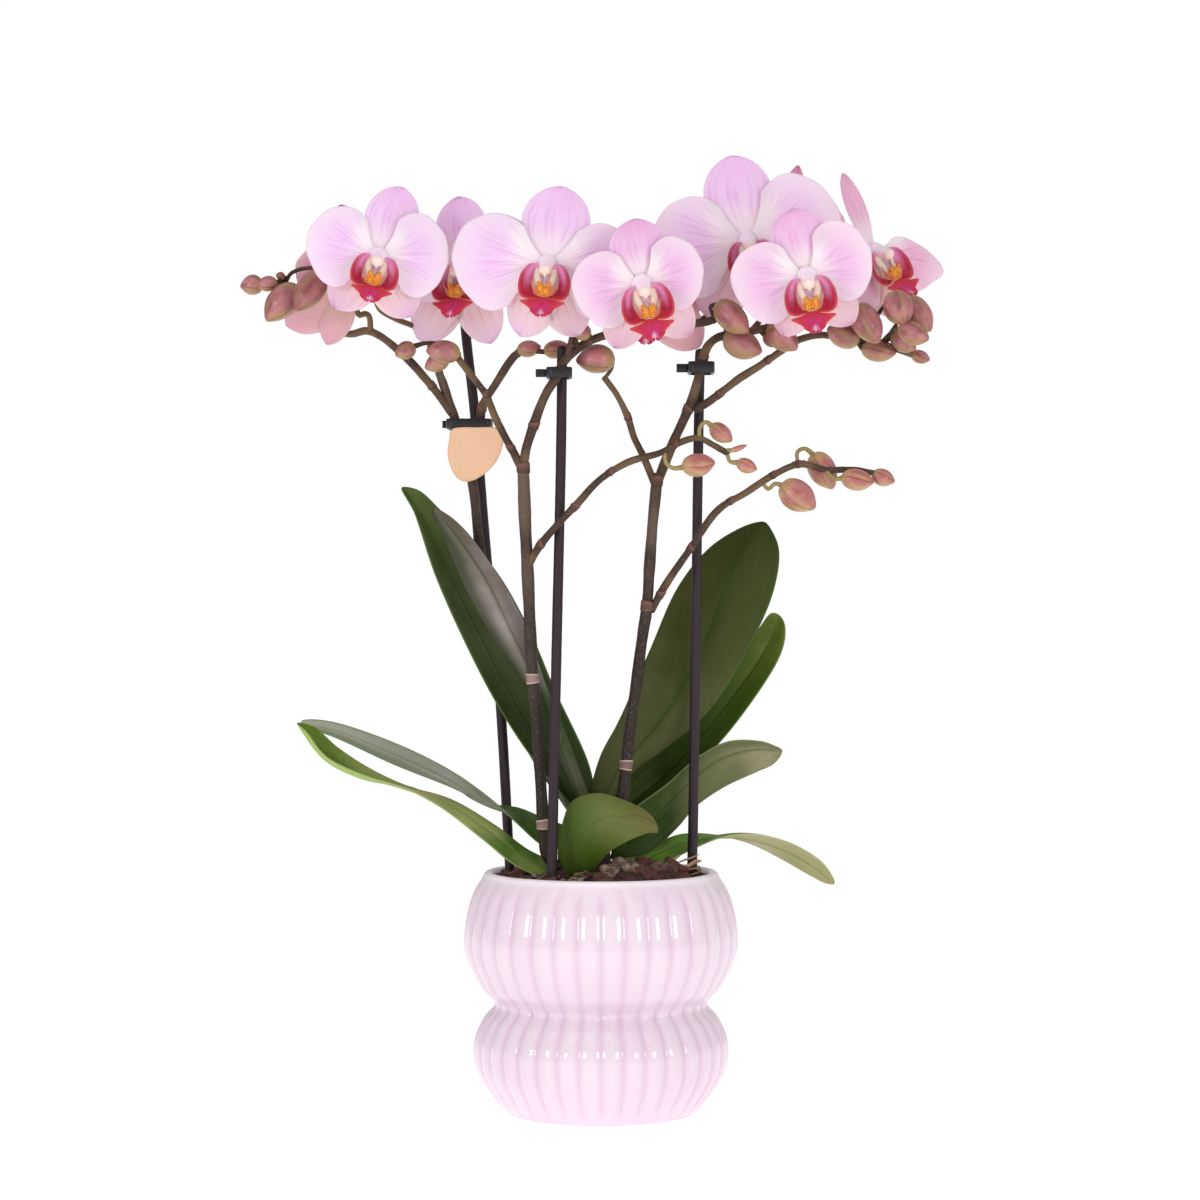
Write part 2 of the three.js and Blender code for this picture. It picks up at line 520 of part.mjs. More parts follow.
// Buds: width, then the pedicel's route, which ends at the bud's base and its tip
const BUDS = {
  spike_left: [
    [9.8, [-147, 363.2, -6], [-152, 363, -7], [-158.4, 362.2, -7]],
    [7.4, [-140, 363.6, -1], [-143, 363.8, -7], [-151, 362.2, -10]],
    [4, [-139, 362.8, 2], [-139.5, 366, -2], [-142.8, 367.2, -4]],
    [14, [-139, 363, 1], [-134.4, 361.6, -9], [-147, 347.6, -13]],
    [13.4, [-139, 363, 1], [-136, 368, -5], [-127, 370, -11], [-123, 367.6, -14], [-134, 352, -22]],
    [8, [-37, 332.2, -2], [-36.2, 333.8, -4], [-26.8, 335.3, -5]],
    [8.8, [-26, 333.2, -6], [-24.4, 333.2, -6], [-14.4, 335.6, -7]],
  ],
  spike_centre: [
    [10.6, [-62.5, 330, -18], [-62.8, 332.6, -19], [-76.4, 334, -20]],
    [8.6, [-62.5, 330, -17], [-67.8, 330.4, -14], [-77.2, 326.2, -13]],
    [8.4, [-62, 330.4, -18], [-67, 336, -15], [-77, 337, -13], [-82.4, 335.6, -14], [-90.2, 331.8, -15]],
    [8, [-4, 338.4, -25], [-5.4, 340.4, -30], [-12, 344, -33]],
    [11.2, [28, 289.4, -21.5], [28.6, 284.4, -22], [31.7, 282, -22], [36.5, 282.5, -22],
      [49.7, 284.3, -22]],
    [8.6, [43.2, 295, -17], [43.6, 300, -18], [46.2, 302.3, -18], [48.8, 300.4, -18], [57.2, 294, -19]],
    [7, [55.4, 288.7, -17], [56.8, 285, -18], [60.2, 284.4, -18], [68.2, 281.4, -19]],
    [2.6, [54, 289.8, -17], [57, 289.6, -17], [64, 292, -17]],
    [12.6, [50, 347.4, -22], [48.2, 353, -27], [51.6, 354, -31], [64, 342, -35]],
  ],
  spike_right: [
    [13.6, [1.6, 321.4, -15], [4.6, 326, -17], [5, 330.4, -19], [-10.4, 329.6, -20]],
    [13.4, [46, 334.4, -9], [51.6, 338.6, -17], [55, 339.4, -22], [70, 333, -25]],
    [12.4, [71, 343.4, -17], [74.6, 344.6, -19], [85.6, 334.4, -22]],
    [5, [69, 343, -16], [72.2, 340.6, -17], [75.8, 335.4, -18]],
    [12, [112, 338.2, -20], [112.4, 338, -25], [100.2, 343.6, -30]],
    [13.6, [108, 338.8, -20], [110, 348, -28], [113, 352.8, -35], [121.4, 337.6, -40]],
    [10.2, [112, 338.2, -20], [115.4, 334.4, -21], [129.2, 332.4, -23]],
    [13.6, [117, 337.8, -20], [121, 348, -28], [125, 354, -36], [128.6, 358.4, -40], [133.4, 345.6, -46]],
    [13, [124, 337, -20], [131, 347, -26], [134.6, 356, -33], [144.4, 342.6, -36]],
    [10.6, [123, 337, -20], [127.4, 341.4, -29], [132, 343.6, -42], [143.6, 338.6, -48]],
    [9, [124, 337, -20], [128.4, 340.2, -25], [138, 334.2, -28]],
    [6.4, [134, 333, -20], [137, 332, -20], [144.4, 329.6, -20]],
    [14.8, [70.8, 275.8, -8], [73.6, 272.8, -10], [76.6, 275.2, -12], [80, 274.2, -13],
      [93.6, 264.6, -14]],
    [13.2, [86.6, 283.6, -8], [86.4, 289, -6], [89.8, 290.6, -3], [93.8, 287.6, -1], [101.6, 273.4, 0]],
    [10.2, [98.6, 281.2, -8], [103, 277.4, -10], [106.5, 277.7, -11], [119.6, 275.8, -12]],
    [8, [118, 280.2, -8], [120, 279.4, -8], [128.8, 276, -8]],
  ],
};

// The larger node rings: x, z, y and radius
const NODE_RINGS = {
  spike_left: [[-74, 317.6, 12.3, 2.7]],
  spike_centre: [[-25.3, 125.4, -17.9, 3.1], [-29.9, 188.6, -20, 3.3], [-34.6, 282, -24, 3.2]],
  spike_right: [[11.1, 152, -9, 3.4], [20.3, 221.6, -8, 3.3], [24, 276, -8, 3.1], [38, 308, -7, 3]],
};

// Blooms: the heart's place, how it faces (turn to the viewer's right, tip up, roll clockwise, in degrees)
// and the way its pedicel comes from the stem. Its tepals are scaled by its size. The ones named here differ
// from the usual: angle clockwise from the top, length, half width (of a petal: degrees each side), lean to
// the back.
const BLOOMS = {
  bloom_1: {
    spike: 'spike_left', heart: [-98.2, 375, -40], turn: 7, tip: 0, roll: 12, size: 1,
    tepals: { dorsal: [3, 31.4, 12, 6], right: [82, 30.5, 55, 0], left: [-80, 33, 58, 0],
      lowLeft: [-151, 28.5, 10.4, 5], lowRight: [139, 29, 10.4, 5] },
    pedicel: [[-75, 336, 8], [-80, 343, 4], [-91, 348, -4], [-98, 353, -12], [-98.4, 366, -24]],
  },
  bloom_2: {
    spike: 'spike_left', heart: [-109.6, 362.6, 2], turn: 180, tip: 20, roll: 0, size: 0.9,
    tepals: { dorsal: [5, 37, 8.5, 3], right: [68, 26, 50, 0], left: [-80, 26, 48, 0],
      lowRight: [121, 34, 11, 3], lowLeft: [156, 28.5, 7, 7] },
    pedicel: [[-101.4, 342.6, 2.4], [-101.9, 348.5, -2], [-103.8, 350, -6], [-106.5, 349.4, -9],
      [-107.8, 353, -10]],
  },
  bloom_3: {
    spike: 'spike_left', heart: [-60.7, 371.4, -14], turn: -20, tip: -4, roll: 0, size: 1.1,
    tepals: { dorsal: [-2, 31.4, 12, 8], left: [-88, 30, 52, 0],
      lowRight: [157, 36, 11, 4], lowLeft: [-153, 38.5, 12, 4] },
    pedicel: [[-72.6, 329, 11.6], [-71, 344, 14], [-65, 360, 10]],
  },
  bloom_4: {
    spike: 'spike_centre', heart: [-23.4, 371.8, -42], turn: -5, tip: -3, roll: 4, size: 1.26,
    tepals: { dorsal: [7, 35, 14.4, 8], right: [90, 40, 52, 0], left: [-90, 41.5, 52, 0],
      lowRight: [154, 33, 10.6, 4], lowLeft: [-162, 33, 10.8, 4] },
    pedicel: [[-10.5, 333.6, -26], [-12, 340, -28], [-17, 348, -27], [-21, 358, -22], [-23, 367, -25]],
  },
  bloom_5: {
    spike: 'spike_centre', heart: [17.8, 363.5, -57], turn: 5, tip: -11, roll: -12, size: 0.9,
    tepals: { dorsal: [6, 26.8, 12.4, 2], right: [87, 27, 56, 0], left: [-84, 28.8, 58, 0],
      lowRight: [147, 31, 9.6, 3], lowLeft: [-147, 30, 9.6, 3] },
    pedicel: [[9, 342.2, -21.6], [12, 348, -24], [16, 358, -34]],
  },
  bloom_6: {
    spike: 'spike_centre', heart: [19, 361, 2], turn: 176, tip: 0, roll: 0, size: 0.95,
    tepals: { lowLeft: [-137, 36, 11, 3] },
    pedicel: [[16, 343.2, -19.6], [16.6, 350, -17], [18, 358, -12]],
  },
  bloom_7: {
    spike: 'spike_right', heart: [64.2, 381.8, -18], turn: 6, tip: -3, roll: -8, size: 1.3,
    tepals: { dorsal: [-1, 39, 14.8, 4], right: [80, 43, 55, 0], left: [-86, 42, 55, 0] },
    pedicel: [[55, 340.2, -13], [56, 350, -2], [60, 366, 3]],
  },
  bloom_8: {
    spike: 'spike_right', heart: [90.4, 366.8, -52], turn: 0, tip: -10, roll: -11, size: 0.94,
    tepals: { dorsal: [-1, 28.4, 12.6, 2], right: [84, 29, 57, 0], left: [-81, 32.5, 57, 0],
      lowRight: [145, 29, 9.6, 3], lowLeft: [-150, 27.5, 9, 3] },
    pedicel: [[72, 343.6, -17], [80, 350, -20], [88, 361, -30]],
  },
  bloom_9: {
    spike: 'spike_right', heart: [119.6, 377, -14], turn: 36, tip: 6, roll: -16, size: 1.2,
    tepals: { dorsal: [5, 38, 7.6, 6], right: [113, 44, 36, 0], left: [-136, 30, 34, -4],
      lowRight: [168, 30, 9, 12], lowLeft: [-158, 30, 9, 6] },
    pedicel: [[106, 339.4, -20], [107, 350, -10], [110, 368, -2]],
  },
  bloom_10: {
    spike: 'spike_right', heart: [80.4, 382, 22], turn: 176, tip: -2, roll: 0, size: 0.9,
    tepals: { dorsal: [-11, 34, 7, 3] },
    pedicel: [[66, 342.2, -15.8], [72, 350, -8], [78, 368, 6]],
  },
};
const BLOOM_BACK = 3; // how far behind the heart the pedicel ends
const USUAL_TEPALS = {
  dorsal: [0, 30, 11, 8], right: [80, 32, 55, 0], left: [-80, 32, 55, 0], lowRight: [146, 28.5, 9.8, 5],
  lowLeft: [-146, 28.5, 9.8, 5],
};

const radians = THREE.MathUtils.degToRad;
function bloomPlace(name) {
  const { heart, turn, tip, roll } = BLOOMS[name];
  const facing = new THREE.Euler(-radians(tip), radians(roll), radians(turn), 'ZXY');
  return { position: place(heart), facing };
}

// Tepals in the bloom's own frame: x to the viewer's right, z up, y to the back. Each is laid out along z,
// leaned to the back and turned round the heart.
const TEPAL_ROOT = 2;
const CLAW = 1; // half width at the root
const SEPAL_FORM = [[0.3, 0.66], [0.66, 1], [0.91, 0.68]]; // share of the length, share of the half width
const PETAL_FORM = [0.7, 0.88, 0.95, 1, 0.92, 0.79, 0.58]; // reach from the lower to the upper side

function layer(angle, lean) {
  const [turn, tilt] = [radians(angle), radians(lean)];
  return (across, along, back) => {
    const out = along * Math.cos(tilt) - back * Math.sin(tilt);
    const behind = along * Math.sin(tilt) + back * Math.cos(tilt);
    return new THREE.Vector3(
      across * Math.cos(turn) + out * Math.sin(turn),
      behind,
      out * Math.cos(turn) - across * Math.sin(turn),
    );
  };
}

function sepal(angle, length, halfWidth, lean) {
  const lay = layer(angle, lean);
  const rows = SEPAL_FORM.map(([share, width]) => [-1, 0, 1].map((side) => {
    const curl = 1 + 2 * share * share + (side === 0 ? 1.2 : 0);
    return lay(side * width * halfWidth, share * length, curl);
  }));
  const root = [-1, 1].map((side) => lay(side * CLAW, TEPAL_ROOT, 1));
  return blade(stitched([root, ...rows, [lay(0, length, 3)]]));
}

function petal(angle, reach, spread, lean) {
  const lay = layer(angle, lean);
  const row = (share, count) => Array.from({ length: count }, (unused, k) => {
    const side = (2 * k) / (count - 1) - 1;
    const upper = angle > 0 ? -side : side;
    const far = sampled(PETAL_FORM, (upper + 1) / 2) * reach * share;
    const fan = radians(spread) * side * (0.25 + 0.75 * share);
    return lay(far * Math.sin(fan), far * Math.cos(fan), -1.4 + 2.2 * share * share * side * side);
  });
  const root = [-1, 1].map((side) => lay(side * CLAW, TEPAL_ROOT, -1.4));
  return blade(stitched([root, row(0.55, 3), row(1, PETAL_FORM.length)]));
}

const vectors = (list) => list.map((p) => new THREE.Vector3(...p));
const COLUMN = [[0, 3, 0], [0, 0.6, 0], [0, -8.6, -2.8], [0, -10.8, -4.2]];
const COLUMN_RADII = [1.4, 2.9, 2.3, 1];

function bloomTepals(name) {
  const { size, tepals } = BLOOMS[name];
  const pick = (which) => {
    const [angle, length, width, lean] = USUAL_TEPALS[which];
    const isPetal = which === 'right' || which === 'left';
    return tepals[which] ?? [angle, length * size, isPetal ? width : width * size, lean];
  };
  return join([
    tube(vectors(COLUMN), COLUMN_RADII, 5), sepal(...pick('dorsal')), sepal(...pick('lowRight')),
    sepal(...pick('lowLeft')), petal(...pick('right')), petal(...pick('left')),
  ]);
}

// The lip: two upright side lobes that run into each other below, a pointed middle lobe in front of them,
// and the claw with its swollen callus, which hangs the lip under the column
const LOBE_INNER = [
  [1.9, -7.4, -15.2], [3.6, -4.4, -11.6], [4.2, -3.8, -7.4], [4.2, -4.2, -3.4], [3.8, -5.4, -0.6],
];
const LOBE_OUTER = [[3.4, -10, -17], [9.2, -10.4, -14.4], [11.6, -9.6, -8.6], [10, -8.4, -2],
  [5.6, -6.8, 1.6]];
const MIDDLE_LOBE = [
  [[9.8, -11.2, -17], [0, -11.6, -18.6], [-9.8, -11.2, -17]],
  [[6.6, -14.6, -21], [0, -15.4, -22.4], [-6.6, -14.6, -21]],
  [[0, -18, -25.4]],
];
const CLAW_LINE = [[0, -3.3, -4.9], [0, -4.8, -10], [0, -7.8, -13.4], [0, -10.2, -16.8]];
const CLAW_RADII = [1, 1.3, 2.6, 1.6];

function lipBody() {
  const lobe = (side) => LOBE_INNER.map((inner, k) => {
    return vectors([inner, LOBE_OUTER[k]].map(([x, y, z]) => [side * x, y, z]));
  });
  const [left, right] = [lobe(-1), lobe(1)];
  const sides = stitched([...left.reverse(), ...right]);
  const front = stitched([[right[0][1], left[left.length - 1][1]], ...MIDDLE_LOBE.map(vectors)]);
  return join([blade([...sides, ...front]), tube(vectors(CLAW_LINE), CLAW_RADII, 5)]);
}

// The stems, buds and pedicels of one spike, grown together
const BUD_FORM = [[0, 0.2], [0.28, 0.47], [0.66, 0.46], [1, 0.07]]; // share of the length, of the width
const STALK_RADIUS = 1.15;

function bud(width, ...route) {
  const points = route.map(place);
  const [base, tip] = points.slice(-2);
  const stations = BUD_FORM.map(([share]) => base.clone().lerp(tip, share));
  const radii = BUD_FORM.map(([, share]) => Math.max(share * width, 0.3));
  const stalk = points.slice(0, -2);
  return tube([...stalk, ...stations], [...stalk.map(() => STALK_RADIUS), ...radii], 5);
}

function spike(name) {
  const parts = STEMS[name].map(([start, end, route]) => tapered(route.map(place), start, end, 5));
  for (const sizes of BUDS[name]) parts.push(bud(...sizes));
  for (const [x, z, y, r] of NODE_RINGS[name]) {
    const ring = new THREE.CylinderGeometry(r, r * 0.9, 2.6, 5).rotateX(Math.PI / 2);
    parts.push(solidFromGeometry(ring.translate(...place([x, z, y]).toArray())));
  }
  for (const [bloomName, { spike: owner, pedicel }] of Object.entries(BLOOMS)) {
    if (owner === name) {
      const { position, facing } = bloomPlace(bloomName);
      const away = (distance) => new THREE.Vector3(0, distance, 0).applyEuler(facing).add(position);
      const route = [...pedicel.map(place), away(BLOOM_BACK + 4), away(BLOOM_BACK + GAP)];
      parts.push(tapered(route, 1.3, 1.2, 4));
    }
  }
  return join(parts);
}

// Support sticks: from below the bark's surface to the top, as [x, z, y]
const STAKES = {
  stake_left: [[-37.3, 66, 6], [-40, 105, 8.5], [-44.4, 180, 16], [-50.2, 241.6, 20],
    [-55.6, 306.7, 23], [-59.3, 340, 26], [-60, 350, 26.6]],
  stake_centre: [[-21.7, 70, -31], [-21.5, 105, -30], [-19.6, 200, -25.6], [-17.6, 290, -21.6],
    [-17.1, 335.5, -20]],
  stake_right: [[38.4, 76, 0], [40, 105, 0], [41.4, 190, 1], [42.8, 290, 1.4], [43.6, 334, 1.6]],
};
const stake = (name, extra = 0) => {
  const radius = STAKE_RADIUS + extra;
  return tapered(STAKES[name].map(place), radius, radius, 6);
};

// Clips: the ring's middle, its half sizes across and in depth, its height, and the tab at its left
const CLIPS = {
  clip_left: { middle: [-57.8, 301.2, 18.8], across: 10.2, depth: 9.2, height: 4.4, tab: 2 },
  clip_centre: { middle: [-18.4, 323.8, -23.6], across: 5.6, depth: 7.1, height: 4.6, tab: 4.6 },
  clip_right: { middle: [44, 326, -2.8], across: 5.8, depth: 8.4, height: 5, tab: 5 },
};
const CLIP_CORNER = 3;

// A rounded rectangle about the middle
function roundedOutline(path, across, depth, corner) {
  for (const [x, y, turn] of [[1, 1, 0], [-1, 1, 1], [-1, -1, 2], [1, -1, 3]]) {
    const start = (turn * Math.PI) / 2;
    path.absarc(x * (across - corner), y * (depth - corner), corner, start, start + Math.PI / 2, false);
  }
  return path;
}

function clip(name) {
  const { middle, across, depth, height, tab } = CLIPS[name];
  const outline = roundedOutline(new THREE.Shape(), across, depth, CLIP_CORNER);
  const [inAcross, inDepth, inCorner] = [across, depth, CLIP_CORNER].map((size) => size - CLIP_WALL);
  outline.holes.push(roundedOutline(new THREE.Path(), inAcross, inDepth, inCorner));
  const settings = { depth: height, bevelEnabled: false, curveSegments: 1 };
  const ring = solidFromGeometry(new THREE.ExtrudeGeometry(outline, settings));
  const handle = new THREE.BoxGeometry(tab + 1, 2.6, height * 0.75);
  handle.translate(-across - tab / 2 + 0.5, 0, height / 2);
  const { x, y, z } = place(middle);
  return ring.add(solidFromGeometry(handle)).translate([x, y, z - height / 2]);
}

// The paper tag: an egg with its narrow end down to the left, hung in front of the left clip
const TAG_OUTLINE = [[-65.6, 299], [-54, 300], [-45, 299.4], [-42.8, 295.6], [-46, 285], [-54, 277.6],
  [-60, 276],
  [-64, 278.4], [-67.4, 287], [-66.8, 294.6]];
const TAG_DEPTH = CLIPS.clip_left.middle[2] - CLIPS.clip_left.depth - GAP; // its back, just before the clip

function tag() {
  const outline = [...TAG_OUTLINE, TAG_OUTLINE[0]].map(([x, z]) => {
    const point = place([x, z, TAG_DEPTH]);
    return new THREE.Vector2(point.x, point.z);
  });
  const shape = new THREE.Shape(new THREE.SplineCurve(outline).getPoints(16).slice(0, -1));
  const geometry = new THREE.ExtrudeGeometry(shape, { depth: TAG_THICKNESS, bevelEnabled: false });
  return solidFromGeometry(geometry.rotateX(Math.PI / 2).translate(0, TAG_DEPTH, 0));
}

// Materials
const material = (color, roughness) => new THREE.MeshStandardMaterial({ color, roughness, metalness: 0 });
const GLAZE = material('#f1dcec', 0.12);
const PLASTIC_POT = material('#3a3330', 0.5);
const BARK = material('#4a2f24', 0.9);
const LEAF = material('#44522a', 0.4);
const LEAF_UNDERSIDE = material('#77726a', 0.55);
const LEAF_LIGHT = material('#7c8a4c', 0.45);
const STEM = material('#544a42', 0.55);
const PETAL = material('#eed3ec', 0.6);
const LIP = material('#c23a68', 0.5);
const STICK = material('#2d272a', 0.45);
const CLIP_PLASTIC = material('#26282d', 0.4);
const KRAFT = material('#dfb799', 0.9);

const plant = new THREE.Group();
const part = (name, manifold, look, parent = plant) => {
  const mesh = new THREE.Mesh(geometryOf(manifold), look);
  mesh.name = name;
  parent.add(mesh);
  return mesh;
};

// Leaves give way to the crown and to the leaves below them, where their bases clasp it
const leafLooks = {
  leaf_left_tall_front: LEAF_UNDERSIDE,
  leaf_left_low_back: LEAF_UNDERSIDE,
  leaf_right_middle: LEAF_UNDERSIDE,
  leaf_left_low_front: LEAF_LIGHT,
  leaf_right_low: LEAF_LIGHT,
  leaf_front_short: LEAF_LIGHT,
};
const leafNames = Object.keys(LEAVES);
const crownRoom = crown(GAP);
const cutLeaves = leafNames.map((name, k) => {
  const others = leafNames.slice(k + 1).map((other) => leaf(other, GAP));
  return largest(others.reduce((body, other) => body.subtract(other), leaf(name).subtract(crownRoom)));
});
const leafRoom = join(leafNames.map((name) => leaf(name, GAP)));
const stakeRoom = join(Object.keys(STAKES).map((name) => stake(name, GAP)));

part('pot', pot(), GLAZE);
part('grow_pot', growPot(), PLASTIC_POT);
part('bark', largest(bark().subtract(crownRoom).subtract(stakeRoom).subtract(leafRoom)), BARK);
part('crown', crown(), STEM);
leafNames.forEach((name, k) => part(name, cutLeaves[k], leafLooks[name] ?? LEAF));
for (const name of Object.keys(STEMS)) {
  part(name, largest(spike(name).subtract(crownRoom).subtract(leafRoom)), STEM);
}
for (const name of Object.keys(STAKES)) part(name, stake(name), STICK);
for (const name of Object.keys(CLIPS)) part(name, clip(name), CLIP_PLASTIC);
part('tag', tag(), KRAFT);

const lip = lipBody();
for (const name of Object.keys(BLOOMS)) {
  const { position, facing } = bloomPlace(name);
  const bloom = new THREE.Group();
  bloom.position.copy(position);
  bloom.rotation.copy(facing);
  plant.add(bloom);
  part(name, bloomTepals(name), PETAL, bloom);
  part(name.replace('bloom', 'lip'), lip, LIP, bloom);
}

export default plant;
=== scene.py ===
"""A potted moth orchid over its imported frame: ribbed pot, bark, nine leaves, three spikes and ten blooms.

Shapes are worked out in millimetres and become metres when a mesh is made. +Z is up, the front faces -Y.
"""
import math
import random

import bpy
import numpy as np
from mathutils import Matrix, Vector, noise


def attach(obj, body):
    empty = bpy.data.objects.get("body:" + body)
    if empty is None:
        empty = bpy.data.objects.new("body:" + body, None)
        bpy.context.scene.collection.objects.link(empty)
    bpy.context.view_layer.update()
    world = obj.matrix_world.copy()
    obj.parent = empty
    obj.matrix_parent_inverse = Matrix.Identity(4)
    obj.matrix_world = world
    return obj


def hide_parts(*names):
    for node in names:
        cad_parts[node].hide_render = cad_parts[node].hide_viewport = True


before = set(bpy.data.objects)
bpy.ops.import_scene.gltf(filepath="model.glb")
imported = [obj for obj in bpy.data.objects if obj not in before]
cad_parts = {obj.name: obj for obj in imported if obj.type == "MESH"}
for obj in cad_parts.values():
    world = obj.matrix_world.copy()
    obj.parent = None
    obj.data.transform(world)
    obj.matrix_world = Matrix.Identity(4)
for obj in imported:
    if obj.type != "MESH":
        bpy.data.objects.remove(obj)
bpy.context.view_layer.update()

MM = 0.001
VIEW_DISTANCE = 1300
VIEW_HEIGHT = 224
VIEW_X = -0.44
LENS = 88.64
SENSOR = 36

GAP = 0.3
RIBS = 36
RIB_DEPTH = 1.5
GROOVE_SHARE = 0.8  # how deep a groove is against the ribs of the solid
POT_HEIGHT = 105
POT_FLOOR = 8
FLOOR_RADIUS = 39.5
RIM_RADIUS = 49.6
RIM_LEVEL = 103.0
RIM_WIDE = 2.1
RIM_TALL = 1.9
BARK_EDGE = 45.9
BARK_LEVEL = 100.3
CROWN_X = -4
STAKE_RADIUS = 2.2
CLIP_WALL = 1.3
TAG_THICKNESS = 0.7
BLOOM_BACK = 3

# The outlines of the pot, as radius and height
POT_OUTSIDE = [
    [42.5, 0], [49.2, 8.2], [55.2, 19.5], [55.9, 31], [52, 40], [46.9, 46.9], [53, 54.4], [60, 70], [60, 81],
    [56.6, 94.8], [52.6, 101.8],
]
POT_FOOT = [[0.8, 1.4], [30, 1.4], [37.5, 1.2], [39, 0.1], [41.6, 0]]
POT_INSIDE = [
    [46.9, 102.4], [54, 90], [54.4, 70], [42.2, 47], [51, 30], [47, 15], [41, POT_FLOOR],
]
CROWN = [[8, 91], [8.2, 112], [7, 126], [4.4, 138], [0.6, 140]]

